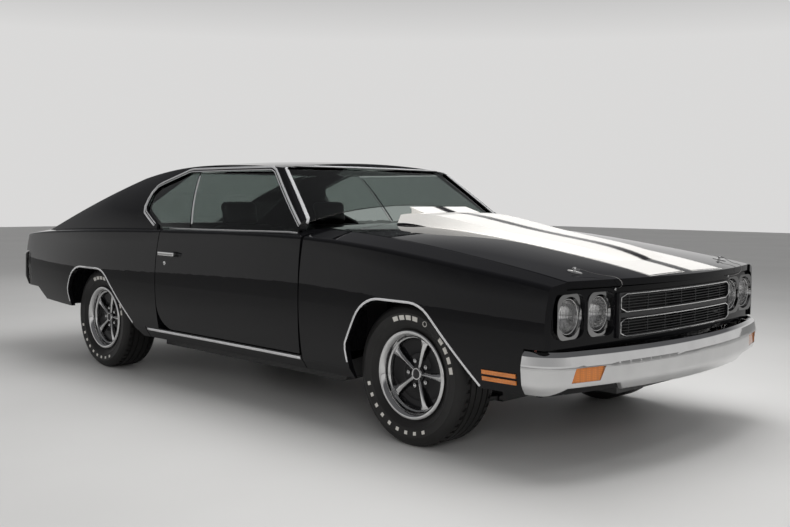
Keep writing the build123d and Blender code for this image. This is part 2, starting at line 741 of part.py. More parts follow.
def make_bezels():
    """Chrome surround of each headlamp."""
    bezels = []
    for side in (-1, 1):
        for w, x in headlamp_rows:
            ring = front_prism(at_lamp(side * w, bezel_outline(0)), x - bezel_depth, x)
            ring -= rod((x - bezel_depth - 1, side * w, lamp_z), (x + 1, side * w, lamp_z), lens_radius + clearance)
            mouth = Plane(origin=(x - 26, side * w, lamp_z), z_dir=(1, 0, 0)) * Solid.make_cone(lens_radius, lens_radius + 9, 27)
            bezels.append(ring - mouth)
    return bezels


def make_headlamps():
    """Domed sealed-beam lamps, two on each side."""
    lamp = revolved([(0, -70), (30, -70), (lens_radius, -14), (lens_radius, -4), (lens_radius * 0.72, 5, 40), (0, 8)])
    lamps = []
    for side in (-1, 1):
        for w, x in headlamp_rows:
            lamps.append(Plane(origin=(x - 30, side * w, lamp_z), z_dir=(1, 0, 0)) * lamp)
    return lamps


def make_grille():
    """Grille frame with fine level bars, a heavier middle bar and upright supports."""
    def band(z0, z1, setback, depth, half_w):
        return ring_slab(grille_tip_x - setback, grille_corner_x - setback, depth, z0, z1, half_w)
    frame = band(grille_low_z, grille_high_z, 0, 14 - clearance, grille_half_w)
    frame -= box(2200, 2500, -grille_half_w + 11, grille_half_w - 11, grille_low_z + 11, grille_high_z - 11)
    middle = (grille_low_z + grille_high_z) / 2
    grille = frame + band(middle - 10, middle + 10, 2, 12, grille_half_w - 5)
    bars = 14
    pitch = (grille_high_z - grille_low_z - 22) / bars
    for i in range(bars):
        z = grille_low_z + 11 + pitch * (i + 0.5)
        grille += band(z - 1.6, z + 1.6, 8, 10, grille_half_w - 5)
    for i in range(7):
        y = (i - 3) * 138.0
        grille += band(grille_low_z + 5, grille_high_z - 5, 15, 6, grille_half_w) & box(2200, 2500, y - 3, y + 3, 0, 1000)
    return grille


# ---- bumpers --------------------------------------------------------------------------------------
def bumper_shell(profile, main_radius, end_w, corner, tip_x):
    """A bumper section swept along its plan arc and round both corners; the front faces +X."""
    centre_x = tip_x - main_radius
    angle = math.degrees(math.asin((end_w - corner) / (main_radius - corner)))
    corner_x = centre_x + (main_radius - corner) * math.cos(math.radians(angle))
    corner_y = (main_radius - corner) * math.sin(math.radians(angle))

    def swept(x, y, radius, start, sweep):
        edges = outline_edges([(radius + p[0], *p[1:]) for p in profile], lambda p: (p.X, 0, p.Y))
        face = make_face(edges)
        return Pos(x, y, 0) * Rot(0, 0, start) * revolve(face, axis=Axis.Z, revolution_arc=sweep)

    bar = swept(centre_x, 0, main_radius, -angle, 2 * angle)
    bar += swept(corner_x, corner_y, corner, angle, 90 - angle)
    return bar + swept(corner_x, -corner_y, corner, -90, 90 - angle)


def make_front_bumper():
    """Chromed front bumper, deeper in the middle, with openings for the parking lamps."""
    t = bumper_sheet
    top, low = front_bumper_top, front_bumper_bottom
    profile = [
        (-26, top), (-10, top - 14, 14), (0, top - 62, 60), (-8, low + 40, 60), (-34, low, 10),
        (-34 - t, low, 0), (-8 - t, low + 46, 50), (-t, top - 62, 50), (-14 - t, top - 20, 8), (-26 - t, top - 16),
    ]
    bar = bumper_shell(profile, front_bumper_radius, front_bumper_end_w, front_bumper_corner, nose_x)
    for side in (-1, 1):
        raised = [(side * 470, low - 40), (side * 560, low + 36), (side * 835, low + 36), (side * 900, low - 5),
                  (side * 980, low - 5), (side * 980, low - 60)]
        bar -= front_prism(raised, 2000, 2600)
        bar -= front_prism(lamp_slot(side, 0), 2200, 2600)
        bar += box(rail_front_x + clearance, 2440, side * 345, side * 405, 355, 388)
    return bar


def lamp_slot(side, shrink):
    """Leaning outline of a parking lamp in the front bumper."""
    s = shrink
    return [(side * (652 + s), 466 - s), (side * (676 + s), 406 + s), (side * (822 - s), 406 + s),
            (side * (806 - s), 466 - s)]


def make_parking_lamps():
    """Amber lamps in the front bumper and amber markers on the fenders' sides."""
    pieces = []
    t = bumper_sheet
    block = [(-2, 470), (-2, 402), (-2 - t, 402), (-2 - t, 470)]
    ring = bumper_shell(block, front_bumper_radius - 4, front_bumper_end_w - 4, front_bumper_corner - 4, nose_x - 8)
    for side in (-1, 1):
        pieces.append(ring & front_prism(lamp_slot(side, clearance), 2200, 2600))
        for z in (382, 410):
            marker = box(2005, 2175, side * 860, side * 1000, z, z + 18) & body_loft(-6.0)
            pieces.append(marker - body_skin_top())
    return pieces


def make_rear_bumper():
    """Chromed rear bumper with a recess for each tail lamp."""
    t = bumper_sheet
    top, low = rear_bumper_top, rear_bumper_bottom
    profile = [
        (-22, top), (-4, top - 10, 10), (0, low + 60, 90), (-22, low, 8),
        (-22 - t, low), (-t, low + 66, 70), (-4 - t, top - 22, 6), (-22 - t, top - 22),
    ]
    bar = bumper_shell(profile, rear_bumper_radius, rear_bumper_end_w, rear_bumper_corner, nose_x)
    bar = mirror(bar, about=Plane.YZ)
    for side in (-1, 1):
        bar -= front_prism(tail_slot(side, 0), -2600, -2350)
    for y in (-plate_spacing / 2, plate_spacing / 2):
        bar -= rod((-2600, y, plate_z), (-2400, y, plate_z), plate_hole_radius)
    for side in (-1, 1):
        bar += box(tail_panel_x + 2 - clearance, tail_x + 16, side * 400, side * 460, 500, 560)
    return bar


plate_spacing = 178.0
plate_z = 610.0
plate_hole_radius = 3.0


def tail_slot(side, shrink):
    s = shrink
    return [(side * (520 + s), 566 + s, 8), (side * (842 - s), 566 + s, 8), (side * (842 - s), 668 - s, 8),
            (side * (520 + s), 668 - s, 8)]


def make_tail_lamps():
    """Red lamps let into the rear bumper."""
    t = bumper_sheet
    block = [(-2, 680), (-2, 560), (-2 - t, 560), (-2 - t, 680)]
    ring = bumper_shell(block, rear_bumper_radius, rear_bumper_end_w, rear_bumper_corner, nose_x)
    ring = mirror(ring, about=Plane.YZ)
    return [ring & front_prism(tail_slot(side, clearance), -2600, -2350) for side in (-1, 1)]


# ---- chassis ----------------------------------------------------------------------------------------
rail_front_x = 2330.0
rail_rear_x = -2330.0


def make_frame():
    """Perimeter frame: two side rails and the members that tie them together."""
    plan = [
        (rail_front_x, -340), (1080, -340), (880, -640), (-770, -640), (-930, -500), (rail_rear_x, -500),
        (rail_rear_x, -565), (-945, -565), (-798, -705), (920, -705), (1120, -410), (rail_front_x, -410),
    ]
    top = floor_z - clearance
    side = [
        (rail_front_x, 300), (1120, 300), (900, 195), (-850, 195), (-1010, 390), (-1650, 390), (-1800, 330),
        (rail_rear_x, 330), (rail_rear_x, 400), (-1820, 400), (-1670, 450), (-980, 450), (-820, top), (892, top),
        (1090, 390), (rail_front_x, 390),
    ]
    rail = plan_prism(plan, 150, 520) & side_prism(side, -800, -300)
    tower = box(front_axle_x - 130, front_axle_x + 130, -408, -380, 385, upper_arm_z + 15)
    frame = rail + tower
    frame += left_of(frame)
    frame += box(front_axle_x - 127, front_axle_x + 128, -345, 345, 150, 300)
    frame += box(220, 300, -660, 660, 238, 268)
    frame += box(-965, -905, -600, 600, 400, 450) & box(-1000, -800, -560, 560, 0, 1000)
    frame += box(2255, rail_front_x, -345, 345, 300, 370)
    frame += box(rail_rear_x, rail_rear_x + 60, -505, 505, 332, 398)
    plate = box(rail_rear_x - 8, rail_rear_x + 60, -130, 130, 322, 332)
    frame += plate
    for x in (-hitch_spacing_x / 2, hitch_spacing_x / 2):
        for y in (-hitch_spacing_y / 2, hitch_spacing_y / 2):
            frame -= upright(hitch_x + x, y, hitch_hole_radius, 300, 420)
    return frame


hitch_x = -2302.0
hitch_spacing_x = 36.0
hitch_spacing_y = 180.0
hitch_hole_radius = 6.5
tunnel_z = floor_top
tunnel_radius = 165.0


def make_floor_pan():
    """Floor with transmission tunnel, seat riser, boot floor, bulkhead and parcel shelf."""
    front = firewall_x
    floor_w = body_inner_w - clearance
    floor = box(seat_riser_x, front, -floor_w, floor_w, floor_z, floor_top)
    rear_w = 600.0
    riser = box(seat_riser_x - floor_sheet, seat_riser_x, -rear_w - 150, rear_w + 150, floor_z, boot_floor_z + floor_sheet)
    boot = box(tail_panel_x + 34 + clearance, seat_riser_x, -rear_w, rear_w, boot_floor_z, boot_floor_z + floor_sheet)
    bulkhead = box(-1322, -1310, -rear_w, rear_w, boot_floor_z, 886)
    shelf = box(-1650, -1310, -rear_w, rear_w, 874, 886)
    pan = floor + riser + boot + bulkhead + shelf
    tunnel = rod((seat_riser_x, 0, tunnel_z), (front, 0, tunnel_z), tunnel_radius)
    bore = rod((seat_riser_x - 50, 0, tunnel_z), (front + 1, 0, tunnel_z), tunnel_radius - floor_sheet)
    pan = pan + (tunnel & box(-3000, 3000, -400, 400, tunnel_z, 1000))
    return pan - bore


def bellows(x, y, z0, z1, radius, turns):
    """A coil spring's outline, as one round body with a groove between each turn."""
    pitch = (z1 - z0) / turns
    edges = [Line((0, 0, z0), (radius, 0, z0))]
    for i in range(turns):
        low = z0 + i * pitch
        edges.append(ThreePointArc((radius, 0, low), (radius + pitch * 0.35, 0, low + pitch / 2), (radius, 0, low + pitch)))
    edges += [Line((radius, 0, z1), (0, 0, z1)), Line((0, 0, z1), (0, 0, z0))]
    return Pos(x, y, 0) * revolve(make_face(edges), axis=Axis.Z)


def make_front_suspension():
    """Upper and lower arms and springs on both sides."""
    pieces = []
    for side in (-1, 1):
        eye = (front_axle_x, side * kingpin_w)
        for z, inner_w, spread in ((lower_arm_z, 345 + clearance, 105), (upper_arm_z, 408 + clearance, 105)):
            low, high = z - 10, z + 10
            arm = upright(*eye, 24, low, high)
            for end in (-spread, spread):
                arm += strap(eye, (front_axle_x + end, side * (inner_w + 22)), 14, low, high)
            arm += box(front_axle_x - spread - 24, front_axle_x + spread + 24, side * inner_w, side * (inner_w + 26), low, high)
            arm += strap((front_axle_x - 45, side * 500), (front_axle_x + 45, side * 500), 40, low, high) if z == lower_arm_z else arm
            arm -= upright(*eye, ball_pin_radius + running_clearance, low - 1, high + 1)
            pieces.append(arm)
        pieces.append(bellows(front_axle_x, side * 500, lower_arm_z + 10 + clearance, 380, 38, 7))
    return pieces


ball_pin_radius = 9.0
spindle_radius = 17.0
backplate_w = wheel_y - 72.0
drum_back = -66.0
spindle_end_w = wheel_y + 28.0


def make_knuckle():
    """Right steering knuckle with ball pins, backing plate and spindle."""
    low, high = lower_arm_z + 15, upper_arm_z - 15
    x, z = front_axle_x, tyre_radius
    knuckle = box(x - 20, x + 20, -kingpin_w - 18, -kingpin_w + 18, low, high)
    knuckle += upright(x, -kingpin_w, ball_pin_radius, lower_arm_z - 12, low)
    knuckle += upright(x, -kingpin_w, ball_pin_radius, high, upper_arm_z + 12)
    knuckle += rod((x, -kingpin_w, z), (x, -backplate_w, z), 34)
    knuckle += rod((x, -backplate_w + 6, z), (x, -backplate_w, z), 140)
    knuckle += rod((x, -backplate_w, z), (x, -spindle_end_w, z), spindle_radius)
    return knuckle + strap((x, -kingpin_w), (x - 150, -kingpin_w + 28), 10, low + 20, low + 38)


def wheel_place(axle_x, side):
    """The wheel's own frame: origin at its centre, +Z outboard."""
    return Plane(origin=(axle_x, side * wheel_y, tyre_radius), x_dir=(1, 0, 0), z_dir=(0, side, 0))


def revolved(profile):
    """A closed (radius, height, corner radius) outline turned about the wheel's axle."""
    edges = outline_edges(profile, lambda p: (p.X, 0, p.Y))
    return revolve(make_face(edges), axis=Axis.Z)


lug_circle = 120.65
lug_hole_radius = 7.5
spoke_count = 5


def make_wheel():
    """Five-spoke steel wheel with trim ring and cap, and its brake drum and hub."""
    half = rim_width / 2
    barrel = revolved([
        (rim_flange_radius, -half), (rim_flange_radius, -half + 6), (rim_radius, -half + 9), (rim_radius, -half + 40),
        (rim_radius - 18, -half + 62), (rim_radius - 18, half - 62), (rim_radius, half - 40), (rim_radius, half - 9),
        (rim_flange_radius, half - 6), (rim_flange_radius, half + 1), (trim_ring_radius, half + 2), (trim_ring_radius - 2, half + 8, 4),
        (rim_radius + 2, half + 11, 8), (rim_radius - 14, half - 4, 10), (rim_radius - 20, half - 30),
        (rim_radius - 24, half - 62), (rim_radius - 24, -half + 64), (rim_radius - 8, -half + 42), (rim_radius - 6, -half),
    ])
    disc_back = 34.3
    disc = revolved([
        (0, disc_back), (76, disc_back), (104, disc_back + 20), (150, disc_back + 20), (rim_radius - 22, disc_back - 2),
        (rim_radius - 19, disc_back + 4), (150, disc_back + 34, 10), (96, disc_back + 30, 10), (74, disc_back + 9, 6),
        (50, disc_back + 9, 4), (46, disc_back + 42, 8), (0, disc_back + 44),
    ])
    window = [(84, -27, 8), (148, -60, 14), (158, 0, 60), (148, 60, 14), (84, 27, 8)]
    for i in range(spoke_count):
        disc -= Rot(0, 0, (i + 0.5) * 360 / spoke_count) * plan_prism(window, 0, 120)
        spoke = plan_prism([(78, -21, 6), (164, -13, 5), (164, 13, 5), (78, 21, 6)], disc_back + 14, disc_back + 40)
        spoke -= plan_prism([(92, -11, 4), (152, -6, 3), (152, 6, 3), (92, 11, 4)], disc_back + 33, disc_back + 60)
        disc += Rot(0, 0, i * 360 / spoke_count) * spoke
    for i in range(spoke_count):
        disc -= Rot(0, 0, (i + 0.5) * 360 / spoke_count) * Pos(lug_circle / 2, 0, 0) * extrude(Circle(lug_hole_radius), amount=120)
    disc -= extrude(Circle(spindle_radius + 3), amount=disc_back + 6)
    bore = spindle_radius + running_clearance
    drum = revolved([
        (bore, drum_back + 8), (34, drum_back + 8), (34, 26), (130, 26), (130, drum_back), (139, drum_back),
        (139, 20), (128, 34), (bore, 34),
    ])
    return [barrel + disc, drum]


def make_tyre():
    """Tyre carcass with a squared shoulder, open at the bead."""
    bead = rim_radius + clearance
    half = tyre_width / 2
    flange = rim_width / 2 - 6
    outside = [
        (bead, flange - 24), (bead, flange - 3.5), (rim_flange_radius + 0.5, flange - 0.6), (214, 93), (252, half - 3),
        (284, half), (308, half - 6), (324, half - 20), (tyre_radius, half - 36),
    ]
    wall = [(tyre_radius - 13, half - 48), (300, half - 24), (262, half - 15), (222, 84), (bead + 7, flange - 22)]
    right = outside
    left = [(r, -h) for r, h in reversed(outside)]
    inside = [(r, -h) for r, h in reversed(wall)]
    return revolved(right + left + inside + wall)


def make_rear_axle():
    """Live rear axle: tubes, differential, spindles, backing plates, arms and springs."""
    x, z = rear_axle_x, tyre_radius
    axle = rod((x, -backplate_w + 6, z), (x, backplate_w - 6, z), 38)
    bowl = [(0, -95), (62, -95, 20), (118, -40, 40), (118, 40, 40), (62, 95, 20), (0, 95)]
    axle += Plane(origin=(x, 0, z), x_dir=(1, 0, 0), z_dir=(0, 1, 0)) * revolved(bowl)
    axle += rod((x, 0, z), (pinion_x, 0, z), 52)
    for side in (-1, 1):
        axle += rod((x, side * (backplate_w - 6), z), (x, side * backplate_w, z), 140)
        axle += rod((x, side * backplate_w, z), (x, side * spindle_end_w, z), spindle_radius)
        axle += box(x - 48, x + 48, side * 438, side * 486, z, z + 44)
    pieces = [axle]
    for side in (-1, 1):
        pieces.append(bellows(x, side * 462, z + 44 + clearance, boot_floor_z - clearance, 26, 4))
    return pieces


pinion_x = rear_axle_x + 210.0
gearbox_tail_x = 380.0
gearbox_radius = 76.0
gearbox_z = 268.0 + clearance + gearbox_radius


def make_propshaft():
    """Propeller shaft from the gearbox's tail to the pinion."""
    return rod((gearbox_tail_x - 0.7, 0, gearbox_z), (pinion_x + 0.7, 0, tyre_radius), 36)


def make_engine():
    """Engine as one plain block with its air cleaner, and the gearbox behind it."""
    front = front_axle_x + 190
    back = front - 600
    block = box(back, front, -235, 235, 300 + clearance, 640)
    block += rod((back + 290, 0, 640), (back + 290, 0, 700), 90)
    block += rod((back + 290, 0, 700), (back + 290, 0, 770), 190)
    bell = Plane(origin=(back, 0, gearbox_z + 20), z_dir=(-1, 0, 0)) * Solid.make_cone(165, 100, 150)
    box_shape = rod((back - 140, 0, gearbox_z), (gearbox_tail_x, 0, gearbox_z), gearbox_radius)
    return block + bell + box_shape


def make_radiator():
    """Radiator core in the support panel between the fenders."""
    support = box(2188, 2198, -760, 760, 390 + clearance, 770) & under_skin
    support -= box(2100, 2300, -300, 300, 400, 740)
    core = box(2126, 2188 - clearance, -312, 312, 392, 752)
    return [support, core]


def make_exhaust():
    """Twin exhaust pipes with a silencer on each."""
    pipes = []
    for side in (-1, 1):
        points = [
            (1230, side * 270, 262), (930, side * 290, 205), (650, side * 400, 205), (-640, side * 400, 205),
            (-1010, side * 400, 335), (-1160, side * 400, 422), (-1480, side * 400, 422), (-1700, side * 410, 300),
            (-2380, side * 410, 300),
        ]
        path = FilletPolyline(*points, radius=60)
        pipe = sweep(Plane(origin=path @ 0, z_dir=path % 0) * Circle(26), path=path)
        pipe += rod((-40, side * 400, 205), (-520, side * 400, 205), 66)
        pipe += box(1195, 1228, side * 270 - 22, side * 270 + 22, 262, 300)
        pipe += box(-1330, -1318, side * 400 - 12, side * 400 + 12, 430, boot_floor_z - clearance)
        pipes.append(pipe)
    return pipes


def make_fuel_tank():
    """Fuel tank under the boot floor."""
    tank = box(-2240, -1780, -340, 340, 250, boot_floor_z - clearance)
    return fillet(tank.edges().filter_by(Axis.Z), 60)


# ---- cabin -------------------------------------------------------------------------------------------
driver_y = 375.0


def make_dashboard():
    """Dashboard across the cabin and the console on the tunnel."""
    dash = side_prism([(firewall_x - 12 - clearance, 640), (firewall_x - 12 - clearance, 880), (800, 920), (640, 908, 30),
                       (600, 850, 30), (650, 690, 40)], -716, 716)
    console = side_prism([(600, 440), (600, 640, 40), (480, 560, 60), (-300, 530, 30), (-300, 440)], -88, 88)
    return [dash, console - rod((-900, 0, tunnel_z), (900, 0, tunnel_z), tunnel_radius + clearance)]


def make_front_seats():
    """Two bucket seats with headrests."""
    seats = []
    for side in (-1, 1):
        y = side * driver_y
        cushion = side_prism([(190, 372), (190, 500, 50), (-330, 470), (-330, 372)], y - 222, y + 222)
        base = box(-260, 120, y - 190, y + 190, floor_top + clearance, 372)
        back = side_prism([(-235, 472), (-372, 985, 50), (-490, 975, 40), (-375, 400, 40), (-250, 400)], y - 222, y + 222)
        head = side_prism([(-400, 940), (-430, 1120, 40), (-520, 1115, 40), (-475, 940)], y - 130, y + 130)
        seats.append(cushion + base + back + head)
    return seats


def make_rear_seat():
    """Rear bench."""
    top = boot_floor_z + floor_sheet + clearance
    cushion = side_prism([(-735, top), (-735, 585, 50), (-1090, 555), (-1090, top)], -596, 596)
    back = side_prism([(-1040, 560), (-1170, 925, 50), (-1300, 925, 30), (-1310 + clearance, 700), (-1200, top), (-1090, top)],
                      -596, 596)
    return cushion + back


def make_steering_wheel():
    """Steering wheel on its column, in front of the driver on the left."""
    centre = Vector(330, driver_y, 850)
    lean = math.radians(24)
    up_column = Vector(-math.cos(lean), 0, math.sin(lean))
    place = Plane(origin=centre, x_dir=(0, 1, 0), z_dir=up_column)
    wheel = place * Solid.make_torus(186, 11)
    wheel += place * extrude(Circle(34), amount=20, both=True)
    for angle in (0, 120, 240):
        wheel += place * Rot(0, 0, angle - 90) * box(20, 182, -13, 13, -4, 4)
    foot = centre - up_column * 324
    return wheel + rod(tuple(centre), tuple(foot), 22)


def make_mirror():
    """Door mirror on the driver's door."""
    head = Pos(560, 899, 1009) * Solid.make_sphere(44)
    head = head & box(520, 575, 800, 1000, 924, 1124)
    return head + rod((560, 895, 925), (560, 905, 1000), 9)


# ---- the whole car -----------------------------------------------------------------------------------
def wheel_nodes():
    """Wheels and tyres at their places; each wheel is modelled once and copied."""
    wheel, tyre = make_wheel(), make_tyre()
    placed = {}
    for end, axle_x in (("front", front_axle_x), ("rear", rear_axle_x)):
        for name, side in (("right", -1), ("left", 1)):
            place = wheel_place(axle_x, side)
            placed[f"wheel_{end}_{name}"] = [place * piece for piece in wheel]
            placed[f"tyre_{end}_{name}"] = place * tyre
    return placed


def car_nodes():
    """Every node of the car by name."""
    body = body_skin_top()
    layer = glass_shell()
    quarter_glass = side_window(layer, body, True)
    door_glass = side_window(layer, body, False)
    nodes = {
        "frame": make_frame(),
        "floor_pan": make_floor_pan(),
        "cowl": make_cowl(),
        "sills": make_sills(),
        "tail_panel": make_tail_panel(),
        "roof": make_roof(),
        "windscreen": make_windscreen(layer, body),
        "rear_glass": [make_rear_window(), quarter_glass, left_of(quarter_glass)],
        "nose_panel": make_nose_panel(),
        "lamp_bezels": make_bezels(),
        "headlamps": make_headlamps(),
        "grille": make_grille(),
        "front_bumper": make_front_bumper(),
        "parking_lamps": make_parking_lamps(),
        "rear_bumper": make_rear_bumper(),
        "tail_lamps": make_tail_lamps(),
        "front_suspension": make_front_suspension(),
        "rear_axle": make_rear_axle() + [make_propshaft()],
        "engine": make_engine(),
        "radiator": make_radiator(),
        "exhaust": make_exhaust(),
        "fuel_tank": make_fuel_tank(),
        "dashboard": make_dashboard(),
        "front_seats": make_front_seats(),
        "rear_seat": make_rear_seat(),
        "steering_wheel": make_steering_wheel(),
        "hood": make_hood(),
        "boot_lid": make_boot_lid(),
    }
    for name, right in (("fender", make_fender()), ("quarter", make_quarter()), ("knuckle", make_knuckle()),
                        ("door_glass", door_glass), ("door", make_door())):
        nodes[name + "_right"] = right
        nodes[name + "_left"] = left_of(right)
    nodes["door_left"] += make_mirror()
    nodes.update(wheel_nodes())
    return nodes


def write(name, shape):
    """One STEP file for a node, its solids kept apart."""
    pieces = shape if isinstance(shape, list) else [shape]
    solids = [solid for piece in pieces for solid in piece.solids()]
    whole = solids[0] if len(solids) == 1 else Compound(children=solids)
    export_step(whole, os.path.join("parts", name + ".step"))
    print(f"{name}: {len(solids)} solids, {sum(s.volume for s in solids) / 1e6:.2f} litres")


os.makedirs("parts", exist_ok=True)
for node_name, node_shape in car_nodes().items():
    write(node_name, node_shape)
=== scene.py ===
# %% [markdown]
# # A two-door hardtop muscle car, dressed
# The car's structure comes from a CAD model and is loaded here as a fixed frame: it is never moved or
# reshaped. This notebook gives it what a body shop, a trim shop and a tyre fitter would: paint, chrome,
# glass, rubber, cloth and the small parts that are fixed last. Everything is in metres, +X is forward, +Y is
# the car's left and +Z is up.

# %% Load the frame
import json
import math
import bmesh
import bpy
from mathutils import Matrix, Vector


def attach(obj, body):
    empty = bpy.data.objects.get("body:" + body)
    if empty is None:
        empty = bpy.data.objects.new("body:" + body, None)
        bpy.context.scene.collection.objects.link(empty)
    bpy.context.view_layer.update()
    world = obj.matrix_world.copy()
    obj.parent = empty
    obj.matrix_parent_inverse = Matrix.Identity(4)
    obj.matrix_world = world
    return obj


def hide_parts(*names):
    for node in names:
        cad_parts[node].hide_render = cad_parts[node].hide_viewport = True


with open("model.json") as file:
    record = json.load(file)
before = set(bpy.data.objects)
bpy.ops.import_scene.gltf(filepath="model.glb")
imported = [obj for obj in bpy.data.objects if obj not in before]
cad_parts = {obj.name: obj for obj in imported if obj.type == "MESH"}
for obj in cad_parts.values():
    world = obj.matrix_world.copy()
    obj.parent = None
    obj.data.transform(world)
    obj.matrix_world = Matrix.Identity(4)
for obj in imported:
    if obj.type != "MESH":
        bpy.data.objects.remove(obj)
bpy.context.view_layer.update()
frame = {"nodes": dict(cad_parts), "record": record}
nodes = frame["nodes"]
bpy.ops.object.select_all(action="DESELECT")

# %% [markdown]
# ## Camera
# A low three-quarter view with a slightly long lens keeps the wheels round and the sides straight. It could
# be aimed with a constraint, but a position and three angles are easier to read and to correct.

# %% Camera
camera_place = Vector((4.528, -3.978, 1.136))
camera_pan = math.radians(45.1)        # from straight back along the car, towards its left
camera_tilt = math.radians(3.9)        # below the horizon
camera_roll = math.radians(0.4)
lens_mm = 43.5

look = Vector((
    -math.cos(camera_pan) * math.cos(camera_tilt),
    math.sin(camera_pan) * math.cos(camera_tilt),
    -math.sin(camera_tilt),
))
bpy.ops.object.camera_add(location=camera_place)
camera = bpy.context.active_object
camera.name = "camera"
camera.rotation_mode = "QUATERNION"
level = look.to_track_quat("-Z", "Y")
camera.rotation_quaternion = level @ Matrix.Rotation(camera_roll, 4, "Z").to_quaternion()
camera.data.lens = lens_mm
camera.data.clip_end = 200.0
bpy.context.scene.camera = camera
bpy.context.scene.view_settings.view_transform = "Standard"
print("camera", [round(v, 3) for v in camera.location])

# %% [markdown]
# ## Node helpers
# The world and every finish are small trees of nodes. They could be put together by hand in the shader
# editor. Short helpers that add and wire one node keep each finish to a few lines, and make every finish in
# the same way.

# %% Node helpers
def new_material(name):
    """A material with its tree of nodes and its one shader."""
    material = bpy.data.materials.new(name)
    material.use_nodes = True
    return material, material.node_tree, material.node_tree.nodes["Principled BSDF"]


def wire(tree, source, target):
    tree.links.new(source, target)


def add_node(tree, kind, sockets=None, **settings):
    """One node with its settings. A socket gets a plain value or another node's output."""
    made = tree.nodes.new(kind)
    for key, value in settings.items():
        setattr(made, key, value)
    for key, value in (sockets or {}).items():
        if isinstance(value, bpy.types.NodeSocket):
            wire(tree, value, made.inputs[key])
        else:
            made.inputs[key].default_value = value
    return made


def object_coords(tree):
    """Coordinates that stay on the piece when it moves."""
    return add_node(tree, "ShaderNodeTexCoord").outputs["Object"]


def noise(tree, coords, scale, detail=3.0):
    sockets = {"Vector": coords, "Scale": scale, "Detail": detail}
    return add_node(tree, "ShaderNodeTexNoise", sockets).outputs["Fac"]


def parts_of(tree, vector):
    """The X, Y and Z of a vector."""
    return add_node(tree, "ShaderNodeSeparateXYZ", {0: vector}).outputs


def ramp(tree, value, stops):
    """A colour ramp: stops are (position, colour) pairs."""
    made = add_node(tree, "ShaderNodeValToRGB", {"Fac": value})
    band = made.color_ramp
    while len(band.elements) < len(stops):
        band.elements.new(0.5)
    for element, (position, colour) in zip(band.elements, stops):
        element.position = position
        element.color = (*colour, 1.0)
    return made.outputs["Color"]


def spread(tree, value, low, high):
    """Stretches a 0 to 1 value to low to high."""
    sockets = {"Value": value, "To Min": low, "To Max": high}
    return add_node(tree, "ShaderNodeMapRange", sockets).outputs["Result"]


def bump(tree, height, strength, distance, shader):
    made = add_node(tree, "ShaderNodeBump", {"Height": height, "Strength": strength, "Distance": distance})
    wire(tree, made.outputs["Normal"], shader.inputs["Normal"])


def two_value(tree, operation, first, second):
    """The result of an operation on two values, each a number or another node's output."""
    return add_node(tree, "ShaderNodeMath", {0: first, 1: second}, operation=operation).outputs[0]


def grey(value):
    return (value, value, value)


def setting(shader, **values):
    """Sets plain values on the shader's own sockets; coat_roughness becomes Coat Roughness."""
    for key, value in values.items():
        name = key.replace("_", " ").title().replace("Ior", "IOR")
        shader.inputs[name].default_value = value


def finish(name, colour_scale, stops, rough=None, relief=None, **settings):
    """Colours mixed by a soft noise, a roughness that drifts and a fine bump.

    rough is (noise scale, low, high) and relief is (noise scale, detail, strength, distance).
    """
    material, tree, shader = new_material(name)
    coords = object_coords(tree)
    wire(tree, ramp(tree, noise(tree, coords, colour_scale), stops), shader.inputs["Base Color"])
    if rough:
        scale, low, high = rough
        wire(tree, spread(tree, noise(tree, coords, scale), low, high), shader.inputs["Roughness"])
    if relief:
        scale, detail, strength, distance = relief
        bump(tree, noise(tree, coords, scale, detail), strength, distance, shader)
    setting(shader, **settings)
    return material


print("node helpers ready")

# %% [markdown]
# ## Floor, backdrop and light
# The floor is one pale sheet. The world is nearly white at eye level, where the camera, a reflection or a
# view through glass meets it, and dark higher up, as a studio is above its backdrop, so that black paint
# stays black. For everything else it is a plain soft light. Three large lights give the shadow. Mirrored in
# the paint they would be hard white patches, so reflections leave them out.

# %% World and floor
backdrop_white = (0.7, 0.695, 0.69)
high_grey = (0.13, 0.13, 0.135)         # the room above the backdrop, which roof, bonnet and chrome reflect
world = bpy.data.worlds.new("studio")
world.use_nodes = True
bpy.context.scene.world = world
tree = world.node_tree
shown = tree.nodes["Background"]
shown.inputs["Strength"].default_value = 1.0
height = parts_of(tree, add_node(tree, "ShaderNodeTexCoord").outputs["Generated"])["Z"]
sky_stops = [(0.0, backdrop_white), (0.16, backdrop_white), (0.34, high_grey), (1.0, high_grey)]
wire(tree, ramp(tree, height, sky_stops), shown.inputs["Color"])
lighting = add_node(tree, "ShaderNodeBackground", {"Color": (1.0, 1.0, 1.0, 1.0), "Strength": 0.42})
path = add_node(tree, "ShaderNodeLightPath").outputs
either = two_value(tree, "MAXIMUM", path["Is Camera Ray"], path["Is Glossy Ray"])
any_seen = two_value(tree, "MAXIMUM", either, path["Is Transmission Ray"])
choice = add_node(tree, "ShaderNodeMixShader", {"Fac": any_seen, 1: lighting.outputs[0], 2: shown.outputs[0]})
wire(tree, choice.outputs[0], tree.nodes["World Output"].inputs["Surface"])

bpy.ops.mesh.primitive_plane_add(size=60.0, location=(0, 0, 0))
floor = bpy.context.active_object
floor.name = "floor"
floor_stops = [(0.3, (0.58, 0.575, 0.565)), (0.7, (0.62, 0.615, 0.605))]
floor.data.materials.append(finish("pale floor", 0.6, floor_stops, roughness=0.55))


def soft_light(name, place, aim, size, power):
    """A large area light that faces a point, left out of reflections."""
    bpy.ops.object.light_add(type="AREA", location=place)
    light = bpy.context.active_object
    light.name = name
    light.data.shape = "RECTANGLE"
    light.data.size, light.data.size_y = size
    light.data.energy = power
    light.rotation_mode = "QUATERNION"
    light.rotation_quaternion = (Vector(aim) - Vector(place)).to_track_quat("-Z", "Y")
    light.visible_glossy = False
    light.visible_transmission = False


